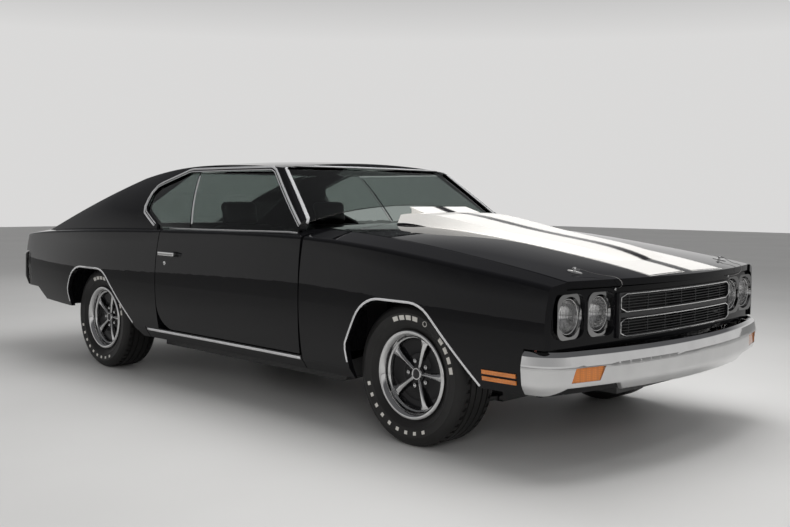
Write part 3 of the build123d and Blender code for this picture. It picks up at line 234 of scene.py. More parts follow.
soft_light("overhead panel", (1.0, 0.6, 4.6), (0.6, 0.0, 0.5), (5.0, 3.2), 260)
soft_light("front fill", (6.5, -5.5, 3.0), (0.8, 0, 0.5), (3.0, 2.0), 120)
soft_light("rear fill", (-6.0, 5.0, 3.4), (-0.8, 0, 0.6), (3.0, 2.0), 110)
bpy.ops.object.select_all(action="DESELECT")
print("stage ready")

# %% [markdown]
# ## Finishes
# Each finish is a small tree of nodes on the shader: the colour, the roughness and a fine bump, at the scale
# that the real surface has. A flat colour would do from a distance, but it looks like plastic from close by.
# Patterns read Object coordinates, so they stay on the piece when it moves.

# %% Paint
def lacquer(name, colour_of):
    """Polished paint under a clear coat, with the faint waviness of a hand-rubbed panel."""
    material, tree, shader = new_material(name)
    coords = object_coords(tree)
    colour_of(tree, coords, shader)
    wire(tree, spread(tree, noise(tree, coords, 3.0), 0.2, 0.28), shader.inputs["Roughness"])
    setting(shader, specular_ior_level=0.0, coat_weight=1.0, coat_roughness=0.015, coat_ior=1.3)
    bump(tree, noise(tree, coords, 260.0, 2.0), 0.05, 0.0002, shader)
    return material


black_enamel = (0.0042, 0.0042, 0.005)
black_enamel_lit = (0.0062, 0.0061, 0.0068)


def plain_black(tree, coords, shader):
    wire(tree, ramp(tree, noise(tree, coords, 1.5), [(0.3, black_enamel), (0.8, black_enamel_lit)]),
         shader.inputs["Base Color"])


stripe_white = (0.8, 0.78, 0.745)
stripe_white_lit = (0.82, 0.8, 0.77)
stripe_inner = 0.046           # half width of the black line between the two stripes
stripe_outer = 0.318
pinstripe_gap = 0.0075
pinstripe = 0.0042
bonnet_stripe_end = 2.422      # the stripes stop short of the bonnet's front edge
lid_stripe_end = -2.395
underside = -0.3               # a face whose normal points further down than this has no stripe


def within(tree, value, low, high):
    """1 where low < value < high, else 0."""
    above = two_value(tree, "GREATER_THAN", value, low)
    below = two_value(tree, "LESS_THAN", value, high)
    return two_value(tree, "MULTIPLY", above, below)


def stripes(tree, coords, shader):
    """Two broad white stripes, each with a white pinstripe round it, on all but the undersides."""
    place = parts_of(tree, coords)
    across = two_value(tree, "ABSOLUTE", place["Y"], 0)

    def field(grow):
        """1 on the stripes, widened all round by grow."""
        band = within(tree, across, stripe_inner - grow, stripe_outer + grow)
        length = within(tree, place["X"], lid_stripe_end - grow, bonnet_stripe_end + grow)
        return two_value(tree, "MULTIPLY", band, length)

    outline = two_value(tree, "SUBTRACT", field(pinstripe_gap + pinstripe), field(pinstripe_gap))
    bands = two_value(tree, "MAXIMUM", field(0.0), outline)
    looks_up = parts_of(tree, add_node(tree, "ShaderNodeTexCoord").outputs["Normal"])["Z"]
    bands = two_value(tree, "MULTIPLY", bands, two_value(tree, "GREATER_THAN", looks_up, underside))
    white = ramp(tree, noise(tree, coords, 2.0), [(0.3, stripe_white), (0.8, stripe_white_lit)])
    sockets = {"Factor": bands, 6: (*black_enamel, 1.0), 7: white}
    mix = add_node(tree, "ShaderNodeMix", sockets, data_type="RGBA")
    wire(tree, mix.outputs[2], shader.inputs["Base Color"])


body_black = lacquer("black body enamel", plain_black)
striped_black = lacquer("black enamel with white stripes", stripes)
print("paint", body_black.name, "|", striped_black.name)

# %% Metals
def metal(name, colour, low, high, bumpiness=0.03, grain=180.0, metallic=1.0):
    """Bare or plated metal: even colour, roughness that drifts a little, and a very fine bump."""
    darker = tuple(0.86 * c for c in colour)
    return finish(name, 6.0, [(0.25, darker), (0.7, colour)], (13.2, low, high),
                  (grain, 2.0, bumpiness, 0.0003), metallic=metallic)


chrome = metal("bright chrome", grey(0.66), 0.02, 0.06)
lamp_chrome = metal("lamp chrome", grey(0.4), 0.04, 0.09)
bright_trim = metal("bright trim", (0.8, 0.8, 0.81), 0.16, 0.22, metallic=0.55)
argent = metal("silver wheel paint", (0.33, 0.33, 0.34), 0.28, 0.36)
bare_steel = metal("machined steel", (0.52, 0.51, 0.5), 0.25, 0.42, grain=300.0)
cast_iron = metal("cast iron", (0.16, 0.155, 0.15), 0.48, 0.62, bumpiness=0.3, grain=90.0)
print("metals ready")

# %% Blacks and rubber
def dull(name, colour, low, high, bumpiness, grain, lighter=1.5, specular=0.5):
    """A plain painted, moulded or rubber surface."""
    raised = tuple(min(1.0, lighter * c) for c in colour)
    return finish(name, 9.0, [(0.3, colour), (0.75, raised)], (22.0, low, high),
                  (grain, 4.0, bumpiness, 0.0006), specular_ior_level=specular)


chassis_paint = dull("chassis black", (0.012, 0.012, 0.012), 0.4, 0.58, 0.12, 120.0)
engine_paint = dull("engine enamel", (0.42, 0.045, 0.012), 0.28, 0.4, 0.15, 90.0, 1.15)
grille_paint = dull("satin grille black", (0.01, 0.01, 0.011), 0.3, 0.4, 0.05, 240.0)
rubber = dull("tyre rubber", (0.0105, 0.01, 0.0098), 0.44, 0.6, 0.25, 340.0, 1.4, 0.35)
white_rubber = dull("raised white rubber", (0.62, 0.6, 0.56), 0.5, 0.6, 0.15, 260.0, 1.1)
moulded = dull("moulded black trim", (0.013, 0.013, 0.014), 0.42, 0.55, 0.35, 620.0)
carpet = dull("loop pile carpet", (0.01, 0.01, 0.011), 0.85, 0.98, 1.0, 420.0, 2.4, 0.2)
print("blacks ready")

# %% Vinyl
seat_black = (0.014, 0.014, 0.015)
seat_stops = [(0.3, seat_black), (0.8, tuple(1.5 * c for c in seat_black))]
seat_vinyl = finish("black seat vinyl", 7.0, seat_stops, (30.0, 0.34, 0.46))
tree = seat_vinyl.node_tree
# a pattern of cells makes the grain, under a soft sheen
sockets = {"Vector": object_coords(tree), "Scale": 420.0}
cells = add_node(tree, "ShaderNodeTexVoronoi", sockets, feature="DISTANCE_TO_EDGE")
bump(tree, cells.outputs["Distance"], 0.35, 0.0006, tree.nodes["Principled BSDF"])
print("vinyl ready")

# %% Glass and lenses
def clear_glass(name, tint):
    """Clear glass, tinted in its mass, with faint streaks in its polish."""
    darker = tuple(0.96 * c for c in tint)
    return finish(name, 2.0, [(0.3, darker), (0.7, tint)], (5.0, 0.0, 0.012), transmission_weight=1.0, ior=1.45)


def lens(name, colour):
    """A moulded lens: coloured plastic with a grid of small prisms behind a smooth face, and painted shade that
    darkens each prism towards its edges.
    """
    material, tree, shader = new_material(name)
    coords = object_coords(tree)
    sockets = {"Vector": coords, "Scale": 130.0, "Randomness": 0.0}
    cells = add_node(tree, "ShaderNodeTexVoronoi", sockets, distance="CHEBYCHEV")
    # painted shade: each prism's colour is darkened towards its edges, standing in for shade in the grooves
    # between the prisms
    darker = tuple(0.55 * c for c in colour)
    painted_prism_shade = ramp(tree, cells.outputs["Distance"], [(0.0, colour), (0.55, darker)])
    wire(tree, painted_prism_shade, shader.inputs["Base Color"])
    setting(shader, roughness=0.22, coat_weight=1.0, coat_roughness=0.03)
    bump(tree, cells.outputs["Distance"], 0.5, 0.0015, shader)
    return material


window_glass = clear_glass("window glass", (0.4, 0.45, 0.43))
amber = lens("amber lens", (0.88, 0.25, 0.012))
red = lens("red lens", (0.42, 0.012, 0.01))
print("glass ready")

# %% [markdown]
# ## Finishes on the car's own parts
# The record names a finish for every part. Each part could be given its material one by one. A table from
# those names to the materials above covers them all, and a short second table holds the exceptions.

# %% Put them on
slot_finish = {
    "body_paint": body_black, "bonnet_paint": striped_black, "chrome": chrome, "window_glass": window_glass,
    "lamp_glass": window_glass, "amber_lens": amber, "red_lens": red, "grille_black": grille_paint,
    "chassis_black": chassis_paint, "wheel_grey": argent, "tyre": rubber, "cast_iron": cast_iron,
    "steel": bare_steel, "vinyl_black": seat_vinyl, "trim_black": moulded,
}
node_slot = {part["node"]: part["material_slot"] for part in frame["record"]["subparts"]}
node_finish = {
    "engine": engine_paint, "floor_pan": carpet, "nose_panel": body_black, "lamp_bezels": lamp_chrome,
}


def dress(part, material):
    """Gives a part one finish, in place of what it was loaded with."""
    slots = part.data.materials
    if not slots:
        slots.append(material)
    for index in range(len(slots)):
        slots[index] = material


for name, part in nodes.items():
    dress(part, node_finish.get(name, slot_finish[node_slot[name]]))
print(len(nodes), "parts dressed")

# %% [markdown]
# ## Drawing on the body
# A moulding follows an edge of the body, so it is drawn as a line in side view or front view, given its
# width, laid on the panel with Shrinkwrap, and then thickened and bevelled. A curve with a bevel would also
# do, but it rolls about its own line on a bent panel, and a strip that is laid on the panel can't.

# %% Helpers for drawing
sunk = -0.0002                 # a moulding's back lies this far inside its panel
side_plane_y = -1.1            # strips for the right side are drawn here, clear of the car
widest_y = -0.9558             # no moulding stands out past the widest panel


def edit_all():
    """Edit mode with everything selected."""
    bpy.ops.object.mode_set(mode="EDIT")
    bpy.ops.mesh.select_all(action="SELECT")


def edit_none(kind):
    """Edit mode for points or faces, with nothing selected."""
    bpy.ops.object.mode_set(mode="EDIT")
    bpy.ops.mesh.select_mode(type=kind)
    bpy.ops.mesh.select_all(action="DESELECT")


def leave_edit():
    bpy.ops.object.mode_set(mode="OBJECT")


def apply_place():
    """Moves the selected piece's origin to the car's, unturned and unscaled."""
    bpy.ops.object.transform_apply(location=True, rotation=True, scale=True)


def start_fresh():
    """Leaves edit mode and selects nothing, so that the next operator acts on the new piece alone."""
    if bpy.context.mode != "OBJECT":
        leave_edit()
    bpy.ops.object.select_all(action="DESELECT")


def select_only(piece):
    start_fresh()
    piece.select_set(True)
    bpy.context.view_layer.objects.active = piece


def draw_chain(points):
    """In edit mode: one vertex at the first point, then an extrusion to each next one."""
    points = [Vector(p) for p in points]
    bpy.ops.mesh.primitive_plane_add(size=0.01, location=points[0])
    if bpy.context.mode == "OBJECT":
        edit_all()
    bpy.ops.mesh.merge(type="CENTER")
    for here, there in zip(points, points[1:]):
        bpy.ops.mesh.extrude_region_move(TRANSFORM_OT_translate={"value": there - here})


def face_outward(piece, outward):
    """Flips the faces of an open piece if they look the wrong way."""
    facing = sum((face.normal * face.area for face in piece.data.polygons), Vector())
    if facing.dot(Vector(outward)) < 0:
        edit_all()
        bpy.ops.mesh.flip_normals()
        leave_edit()


def merge_all(threshold):
    """In edit mode: merges points that coincide and selects everything."""
    bpy.ops.mesh.select_all(action="SELECT")
    bpy.ops.mesh.remove_doubles(threshold=threshold)
    bpy.ops.mesh.select_all(action="SELECT")


def path_piece(points, closed=False):
    """A new piece that is a chain of edges, left in edit mode with everything selected."""
    start_fresh()
    draw_chain(points)
    bpy.ops.mesh.select_all(action="SELECT")
    if closed:
        bpy.ops.mesh.remove_doubles(threshold=1e-5)
    return bpy.context.active_object


def strip_piece(first, second, outward):
    """A strip of faces between two lines with equally many points, facing outward."""
    start_fresh()
    draw_chain(first)
    draw_chain(second)
    merge_all(1e-5)
    bpy.ops.mesh.bridge_edge_loops()
    bpy.ops.mesh.select_all(action="SELECT")
    piece = bpy.context.active_object
    leave_edit()
    face_outward(piece, outward)
    apply_place()
    return piece


def apply_modifier(piece, kind, **settings):
    """Adds one modifier with its settings and applies it."""
    select_only(piece)
    modifier = piece.modifiers.new(kind.lower(), kind)
    for key, value in settings.items():
        setattr(modifier, key, value)
    bpy.ops.object.modifier_apply(modifier=modifier.name)


def bevelled(piece, width, segments=2, **settings):
    apply_modifier(piece, "BEVEL", width=width, segments=segments, limit_method="ANGLE", **settings)
    return piece


def thicken(piece, thick, bevel):
    """Turns a strip into a moulding with softened edges."""
    apply_modifier(piece, "SOLIDIFY", thickness=thick, offset=1.0)
    return bevelled(piece, bevel)


def lay_on(piece, panel, axis):
    """Moves the piece along one axis until it lies on the panel."""
    way = {"use_project_" + axis[1]: True}
    way.update(use_positive_direction=axis[0] == "+", use_negative_direction=axis[0] == "-")
    column = "xyz".index(axis[1])
    ray = Vector([0, 0, 0])
    ray[column] = 1.0 if axis[0] == "+" else -1.0
    before = [vertex.co.copy() for vertex in piece.data.vertices]
    apply_modifier(piece, "SHRINKWRAP", wrap_method="PROJECT", target=panel, offset=sunk, **way)
    missed = [(vertex, start) for vertex, start in zip(piece.data.vertices, before)
              if abs(vertex.co[column] - start[column]) <= 1e-4]
    for vertex, start in missed:
        # a point just beside the panel's edge takes the depth of the panel close by
        for reach in (0.0004, 0.001, 0.002, 0.004, 0.008):
            near = [start + Vector((a, a * 0.3, b)) * reach for a in (-1, 1) for b in (-1, 1)]
            depths = [place[column] for hit, place, *rest in (panel.ray_cast(q, ray) for q in near) if hit]
            if depths:
                vertex.co[column] = sum(depths) / len(depths)
                break
    if missed:
        print("laid from close by:", len(missed), "of", len(before))


def complete(piece, name, body, material, angle=40):
    """Applies the piece's place, recalculates its faces and fixes it to a body with its finish."""
    select_only(piece)
    apply_place()
    bpy.ops.object.mode_set(mode="EDIT")
    merge_all(1e-6)
    bpy.ops.mesh.normals_make_consistent(inside=False)
    leave_edit()
    bpy.ops.object.shade_smooth_by_angle(angle=math.radians(angle))
    piece.name = name
    piece.data.name = name
    piece.data.materials.clear()
    piece.data.materials.append(material)
    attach(piece, body)
    return piece


def duplicate(piece):
    """A copy with its own mesh, selected alone."""
    select_only(piece)
    bpy.ops.object.duplicate(linked=False)
    return bpy.context.active_object


def left_copy(piece, name, body, material, angle=40):
    """The left twin of a piece made for the right side."""
    made = duplicate(piece)
    bpy.ops.transform.resize(value=(1, -1, 1), center_override=(0, 0, 0))
    return complete(made, name, body, material, angle)


def pair(piece, name, body, material):
    """Finishes a piece made for the right side, and its left twin."""
    complete(piece, name + "_right", body, material)
    left_copy(piece, name + "_left", body.replace("right", "left"), material)
    return piece


def joined(pieces):
    """One piece from several."""
    start_fresh()
    for piece in pieces:
        piece.select_set(True)
    bpy.context.view_layer.objects.active = pieces[0]
    bpy.ops.object.join()
    return bpy.context.active_object


def box_piece(centre, size, bevel, segments=2):
    start_fresh()
    bpy.ops.mesh.primitive_cube_add(size=1.0, location=centre, scale=size)
    apply_place()
    return bevelled(bpy.context.active_object, bevel, segments)


def rod_piece(centre, radius, length, bevel, segments=2, rotation=(0, 0, 0)):
    start_fresh()
    bpy.ops.mesh.primitive_cylinder_add(vertices=20, radius=radius, depth=length, location=centre,
                                        rotation=rotation)
    apply_place()
    return bevelled(bpy.context.active_object, bevel, segments)


def rounded(corners, pieces=8):
    """Points along a flat line: corners are (a, b) or (a, b, radius)."""
    points = []
    for index, corner in enumerate(corners):
        here = Vector(corner[:2])
        if len(corner) < 3 or index in (0, len(corners) - 1):
            points.append(here)
            continue
        before = (Vector(corners[index - 1][:2]) - here).normalized()
        after = (Vector(corners[index + 1][:2]) - here).normalized()
        half = before.angle(after) / 2
        reach = corner[2] / math.tan(half)
        middle = here + (before + after).normalized() * (corner[2] / math.sin(half))
        start, end = here + before * reach - middle, here + after * reach - middle
        turn = start.angle_signed(end)
        for step in range(pieces + 1):
            points.append(middle + Matrix.Rotation(-turn * step / pieces, 2) @ start)
    return points


def resampled(points, spacing):
    """The same line with points at an even spacing."""
    lengths = [0.0]
    for here, there in zip(points, points[1:]):
        lengths.append(lengths[-1] + (there - here).length)
    count = max(2, round(lengths[-1] / spacing))
    made, index = [], 0
    for step in range(count + 1):
        goal = lengths[-1] * step / count
        while index < len(lengths) - 2 and lengths[index + 1] < goal:
            index += 1
        span = lengths[index + 1] - lengths[index]
        share = (goal - lengths[index]) / span if span else 0.0
        made.append(points[index].lerp(points[index + 1], share))
    return made


def shifted(points, aside):
    """The line moved aside to its left by a distance, in its own plane."""
    made = []
    for index, here in enumerate(points):
        before = points[max(index - 1, 0)]
        after = points[min(index + 1, len(points) - 1)]
        along = (after - before).normalized()
        made.append(here + Vector((-along.y, along.x)) * aside)
    return made


def side_moulding(corners, inner, outer, panel, thick, spacing=0.03):
    """A strip on the car's right side, between two distances from a line drawn in side view."""
    line = resampled(rounded(corners), spacing)
    edges = [[Vector((p.x, side_plane_y, p.y)) for p in shifted(line, aside)] for aside in (inner, outer)]
    piece = strip_piece(edges[0], edges[1], (0, -1, 0))
    apply_modifier(piece, "SUBSURF", subdivision_type="SIMPLE", levels=1, render_levels=1)
    lay_on(piece, panel, "+y")
    thicken(piece, thick, min(0.0009, thick * 0.4))
    for vertex in piece.data.vertices:
        vertex.co.y = max(vertex.co.y, widest_y)
    return piece


print("drawing helpers ready")

# %% [markdown]
# ## Wheel opening mouldings
# A thin bright lip runs round each wheel opening. It is pressed from strip on the real car. Here it is a
# strip just outside the opening's edge, laid on the panel and thickened by a millimetre or two.

# %% Arch mouldings
front_axle_x = 1.5275
rear_axle_x = -1.3175
wheel_w = 0.762
tyre_r = 0.33
arches = (
    ("front", "fender_right", 0.0016, front_axle_x,
     ((0.453, 0.3475), (0.135, 0.668, 0.17), (-0.235, 0.668, 0.19), (-0.372, 0.43, 0.06), (-0.363, 0.35))),
    ("rear", "quarter_right", 0.0012, rear_axle_x,
     ((0.468, 0.342), (0.15, 0.66, 0.16), (-0.25, 0.66, 0.2), (-0.345, 0.5, 0.06), (-0.323, 0.418))),
)
moulding_width = 0.013
for end, panel, thick, axle_x, corners in arches:
    line = [(axle_x + corner[0], *corner[1:]) for corner in corners]
    lip = side_moulding(line, -0.002, -moulding_width, nodes[panel], thick)
    pair(lip, f"arch_moulding_{end}", "root", bright_trim)
    print(end, "arch moulding", len(lip.data.polygons), "faces")

# %% [markdown]
# ## Window trims
# Bright strips frame the side windows, the windscreen and the rear screen. A drip rail runs above the doors
# and sweeps down behind the rear side window. Each is drawn in the view in which its window was cut, so it
# runs at an even distance from the opening.

# %% Side window trims
window_line = [(0.686, 0.984), (0.286, 1.288, 0.03), (-0.56, 1.288, 0.16), (-0.905, 1.189, 0.06),
               (-0.895, 1.059, 0.03), (-0.69, 0.9745)]
side_trims = (("window_frame", -0.0015, -0.0065, 0.002), ("drip_rail", -0.0125, -0.0225, 0.006))
for name, inner_edge, outer_edge, thick in side_trims:
    trim = side_moulding(window_line, inner_edge, outer_edge, nodes["roof"], thick, 0.04)
    pair(trim, name, "root", bright_trim)
glass_edge = [(-0.305, 0.972), (-0.448, 1.258)]
trim = side_moulding(glass_edge, -0.0062, -0.0172, nodes["door_glass_right"], 0.003, 0.05)
pair(trim, "glass_edge", "door_right", bright_trim)
print("side window trims", len(trim.data.polygons), "faces in the last one")

# %% Belt and rocker mouldings
def skin_point(panel, start, way):
    """Where a straight line from start first meets a panel."""
    hit, place, *rest = panel.ray_cast(Vector(start), Vector(way))
    return place if hit else None


belt_front_x, belt_rear_x, belt_steps = 0.688, -0.535, 14
glass_foot_z = 0.985           # the height where the glass comes out of the door
above_belt_z = 1.2             # the strip is drawn up here and laid down on the door


def belt_moulding(panel):
    """A low strip on top of the door, just outside the glass."""
    lines = ([], [])
    for step in range(belt_steps + 1):
        x = belt_front_x + (belt_rear_x - belt_front_x) * step / belt_steps
        for outer_part in ("roof", "door_glass_right", "rear_glass"):
            found = skin_point(nodes[outer_part], (x, -1.2, glass_foot_z), (0, 1, 0))
            if found and found.y < 0:
                beside = found
                break
        for line, outward in zip(lines, (0.003, 0.014)):
            line.append(Vector((x, beside.y - outward, above_belt_z)))
    piece = strip_piece(lines[0], lines[1], (0, 0, 1))
    lay_on(piece, panel, "-z")
    return thicken(piece, 0.0045, 0.0012)


belt = belt_moulding(nodes["door_right"])
pair(belt, "belt_moulding", "door_right", bright_trim)
rocker = side_moulding([(0.79, 0.322), (-0.68, 0.322)], -0.009, 0.006, nodes["sills"], 0.0025, 0.1)
pair(rocker, "rocker_moulding", "root", bright_trim)
print("belt", len(belt.data.polygons), "rocker", len(rocker.data.polygons), "faces")

# %% Screen surrounds
roof_flat_z = 1.3155           # the roof is nearly flat above the windscreen, so the frame stays below this
roof_flat_y = 0.45             # from here outward it stays lower still
roof_flat_drop = 0.045


def screen_surround(corners, from_x, axis, outward, inner_edge, outer_edge, thick):
    """A frame round a screen, drawn in front view and laid on the roof panel."""
    line = resampled(rounded(corners), 0.035)
    edges = [[Vector((from_x, q.x, q.y)) for q in shifted(line, aside)] for aside in (inner_edge, outer_edge)]
    if axis == "-x":
        for q in edges[1]:
            q.z = min(q.z, roof_flat_z - roof_flat_drop * max(0.0, abs(q.y) - roof_flat_y))
    piece = strip_piece(edges[0], edges[1], outward)
    apply_modifier(piece, "SUBSURF", subdivision_type="SIMPLE", levels=1, render_levels=1)
    lay_on(piece, nodes["roof"], axis)
    return thicken(piece, thick, 0.0012)


windscreen_line = [(-0.78, 0.998), (-0.64, 1.308, 0.02), (0.64, 1.308, 0.02), (0.78, 0.998)]
surround = screen_surround(windscreen_line, 1.3, "-x", (1, 0, 0), 0.0015, 0.019, 0.0045)
complete(surround, "windscreen_surround", "root", bright_trim)
rear_line = [(-0.597, 0.956), (-0.5, 1.292, 0.02), (0.5, 1.292, 0.02), (0.597, 0.956)]
surround = screen_surround(rear_line, -2.3, "+x", (-1, 0, 0), 0.0015, 0.014, 0.004)
complete(surround, "rear_screen_surround", "root", bright_trim)
print("screen surrounds done")

# %% [markdown]
# ## Wheels
# The road wheel is a five-spoke steel wheel inside a wide bright trim ring. Spokes and ring are bright, and
# the pockets between the spokes are black. One finish could tell these apart by where a point is on the
# wheel, but its edges would be soft. So rim, disc, spokes, nuts and cap are pieces of their own, mostly
# turned about the axle.

# %% Turned pieces
def mm(pairs):
    """Pairs in metres from pairs in millimetres."""
    return [(a / 1000, b / 1000) for a, b in pairs]


def turned(profile, centre, axis="y", steps=48):
    """A piece turned about a level axle: (radius, distance out) pairs, out to the right or, for x, forward."""
    centre = Vector(centre)
    if axis == "y":
        points = [centre + Vector((r, -h, 0)) for r, h in profile]
        direction = (0, 1, 0)
    else:
        points = [centre + Vector((h, r, 0)) for r, h in profile]
        direction = (1, 0, 0)
    piece = path_piece(points + points[:1], True)
    bpy.ops.mesh.select_all(action="SELECT")
    bpy.ops.mesh.spin(steps=steps, angle=2 * math.pi, center=centre, axis=direction)
    merge_all(2e-5)
    bpy.ops.mesh.normals_make_consistent(inside=False)
    leave_edit()
    return piece


hub_centre = Vector((front_axle_x, -wheel_w, tyre_r))
rim_profile = mm([
    (203, -95), (203, -89), (190, -86), (190, -55), (172, -33), (172, 33), (190, 55), (190, 86), (203, 89),
    (203, 95.5), (208.5, 96.5), (208.8, 98.5), (207, 102.5), (203, 105), (197.5, 106), (193, 105.2),
    (189.5, 103), (180, 93), (176.5, 86), (175, 76), (174.5, 70), (171.5, 67.5), (169, 66.8), (167.2, 65),
    (166.2, 61), (166, 40), (166, -34), (182, -53), (184, -95)])
rim = turned(rim_profile, hub_centre, steps=72)
complete(rim, "rim_front_right", "wheel_front_right", chrome, 50)
disc = turned(mm([
    (0, 34.3), (76, 34.3), (104, 34.5), (150, 34.5), (160, 30), (166.2, 30), (166.2, 42), (161, 44), (154, 40),
    (110, 38.5), (78, 38.5), (70, 42.5), (50, 43), (42, 45), (40, 53), (0, 53)]), hub_centre, steps=72)
complete(disc, "wheel_disc_front_right", "wheel_front_right", body_black, 50)
cap = turned(mm([(0, 64), (12, 63.6), (18, 62.2), (20.8, 60), (20.8, 52.5), (0, 52.5)]), hub_centre)
complete(cap, "cap_front_right", "wheel_front_right", moulded)
cap_ring = turned(mm([(20.6, 52.5), (20.6, 61), (22.5, 63.2), (26.2, 63), (29.2, 60), (30.5, 52.5)]), hub_centre)
complete(cap_ring, "cap_ring_front_right", "wheel_front_right", chrome)
print("rim", len(rim.data.polygons), "disc", len(disc.data.polygons), "cap", len(cap.data.polygons), "faces")

# %% Bright spokes
spoke_stations = (             # distance from the axle, half width, height out from the hub
    (0.029, 0.0085, 0.057), (0.05, 0.008, 0.0595), (0.08, 0.009, 0.063), (0.12, 0.0125, 0.066),
    (0.15, 0.0185, 0.067), (0.1672, 0.027, 0.0655))
ridge_height = 0.0065
blade_depth = 0.011


def spoke_blade():
    """A slender blade that widens towards the ring, with a ridge along its middle."""
    left = [hub_centre + Vector((r, ridge_height - h, w)) for r, w, h in spoke_stations]
    right = [hub_centre + Vector((r, ridge_height - h, -w)) for r, w, h in spoke_stations]
    ridge = [hub_centre + Vector((r, -h, 0)) for r, w, h in spoke_stations]
    start_fresh()
    draw_chain(left)
    draw_chain(ridge)
    draw_chain(right)
    leave_edit()
    blade = bpy.context.active_object
    count = len(spoke_stations)
    for first in (0, count):
        edit_none("VERT")
        leave_edit()
        for index in range(first, first + 2 * count):
            blade.data.vertices[index].select = True
        bpy.ops.object.mode_set(mode="EDIT")
        bpy.ops.mesh.bridge_edge_loops()
    bpy.ops.mesh.select_all(action="SELECT")
    bpy.ops.mesh.extrude_region_move(TRANSFORM_OT_translate={"value": (0, blade_depth, 0)})
    leave_edit()
    apply_place()
    return bevelled(blade, 0.0012, angle_limit=math.radians(40))


def five_round_hub(first):
    """The piece and four copies of it, evenly spaced about the axle, as one piece."""
    made = [first]
    for index in range(1, 5):
        made.append(duplicate(first))
        bpy.ops.transform.rotate(value=index * math.radians(72), orient_axis="Y", center_override=hub_centre)
    return joined(made)


spokes = five_round_hub(spoke_blade())
complete(spokes, "bright_spokes_front_right", "wheel_front_right", chrome)
print("spokes", len(spokes.data.polygons), "faces", [round(v, 3) for v in spokes.dimensions])

# %% Wheel nuts
lug_radius = 0.060325          # half of the 4.75 inch circle that the nuts sit on
nut_out = 0.0455               # from the wheel's middle plane to the middle of a nut
start_fresh()
bpy.ops.mesh.primitive_cylinder_add(vertices=6, radius=0.0105, depth=0.014, rotation=(math.pi / 2, 0, 0),
                                    location=hub_centre + Vector((lug_radius, -nut_out, 0)))
nut = bpy.context.active_object
apply_place()
edit_none("FACE")
edit = bmesh.from_edit_mesh(nut.data)
for face in edit.faces:
    face.select = face.normal.y < -0.9
bmesh.update_edit_mesh(nut.data)
bpy.ops.mesh.inset(thickness=0.0022, depth=0.0)
bpy.ops.mesh.extrude_region_move(TRANSFORM_OT_translate={"value": (0, -0.004, 0)})
bpy.ops.transform.resize(value=(0.62, 1.0, 0.62))
bpy.ops.mesh.select_mode(type="VERT")
leave_edit()
nut = five_round_hub(bevelled(nut, 0.0009))
bpy.ops.transform.rotate(value=math.radians(36), orient_axis="Y", center_override=hub_centre)
complete(nut, "nuts_front_right", "wheel_front_right", chrome)
print("nuts", len(nut.data.polygons), "faces")

# %% [markdown]
# ## Tyres
# A bias-look tyre has a rounded shoulder, four grooves round the tread, notched shoulder ribs and raised
# white marks on its outer wall. The section is turned about the axle, the notches are pressed in where every
# other face of a shoulder rib is, and the marks are short arcs on the wall. The marks stay plain bars, with
# one small plain ring.

# %% Tyre
groove_depth = 0.0075
groove_top_r = 0.3302
crown_r = 0.3298               # nothing stands out past this, so the tyre just touches the floor
tread = [(0.33, 0.082)]
for middle in (0.06, 0.022, -0.022, -0.06):
    tread += [(groove_top_r, middle + 0.0042), (groove_top_r - groove_depth, middle + 0.003),
              (groove_top_r - groove_depth, middle - 0.003), (groove_top_r, middle - 0.0042)]
tread = [(min(r, crown_r), h) for r, h in tread] + [(crown_r, -0.082)]
wall = mm([
    (190.6, 65), (190.6, 85.2), (203, 88.2), (209, 91.5), (214, 94.5), (216.5, 96.2), (218.5, 95.5),
    (230, 103.5), (242, 111), (245.5, 112.8), (247.5, 112.2), (264, 116), (284, 117.6), (286.2, 118.4),
    (288.5, 117.2), (301, 114.2), (313, 108.5), (322.5, 99), (327.5, 90.5)])
inside = mm([(316, -70), (300, -94), (262, -103), (222, -84), (197.5, -67)])


def mirrored(points):
    """The same line on the tyre's other side, run the other way."""
    return [(r, -h) for r, h in reversed(points)]


section = wall + tread + mirrored(wall) + inside + mirrored(inside)
tyre_steps = 96
rib_low, rib_high = 0.066, 0.09         # the shoulder ribs, from the middle of the tread outward
rib_r = 0.3255                          # and further out from the axle than this
notch_depth = 0.006
tyre = turned(section, hub_centre, steps=tyre_steps)
edit_none("FACE")
leave_edit()
pitch = 2 * math.pi / tyre_steps
apply_place()
for face in tyre.data.polygons:
    from_hub = face.center - hub_centre
    spot = math.hypot(from_hub.x, from_hub.z)
    turn = int((math.atan2(from_hub.z, from_hub.x) % (2 * math.pi)) / pitch)
    face.select = spot > rib_r and rib_low < abs(from_hub.y) < rib_high and turn % 2 == 0
bpy.ops.object.mode_set(mode="EDIT")
bpy.ops.mesh.inset(thickness=0.0016, depth=0.0)
bpy.ops.mesh.extrude_region_shrink_fatten(TRANSFORM_OT_shrink_fatten={"value": -notch_depth})
bpy.ops.mesh.select_mode(type="VERT")
leave_edit()
complete(tyre, "road_tyre_front_right", "wheel_front_right", rubber, 30)
print("tyre", len(tyre.data.polygons), "faces")

# %% Raised white marks
mark_low_r, mark_low_out = 0.2475, 0.1122        # two points of the wall, either side of the marks
mark_high_r, mark_high_out = 0.284, 0.1176
mark_proud = 0.0011


def on_wall(r):
    """How far out a mark's face is, a little outside the wall between the two points."""
    slope = (mark_high_out - mark_low_out) / (mark_high_r - mark_low_r)
    return mark_low_out + mark_proud + (r - mark_low_r) * slope


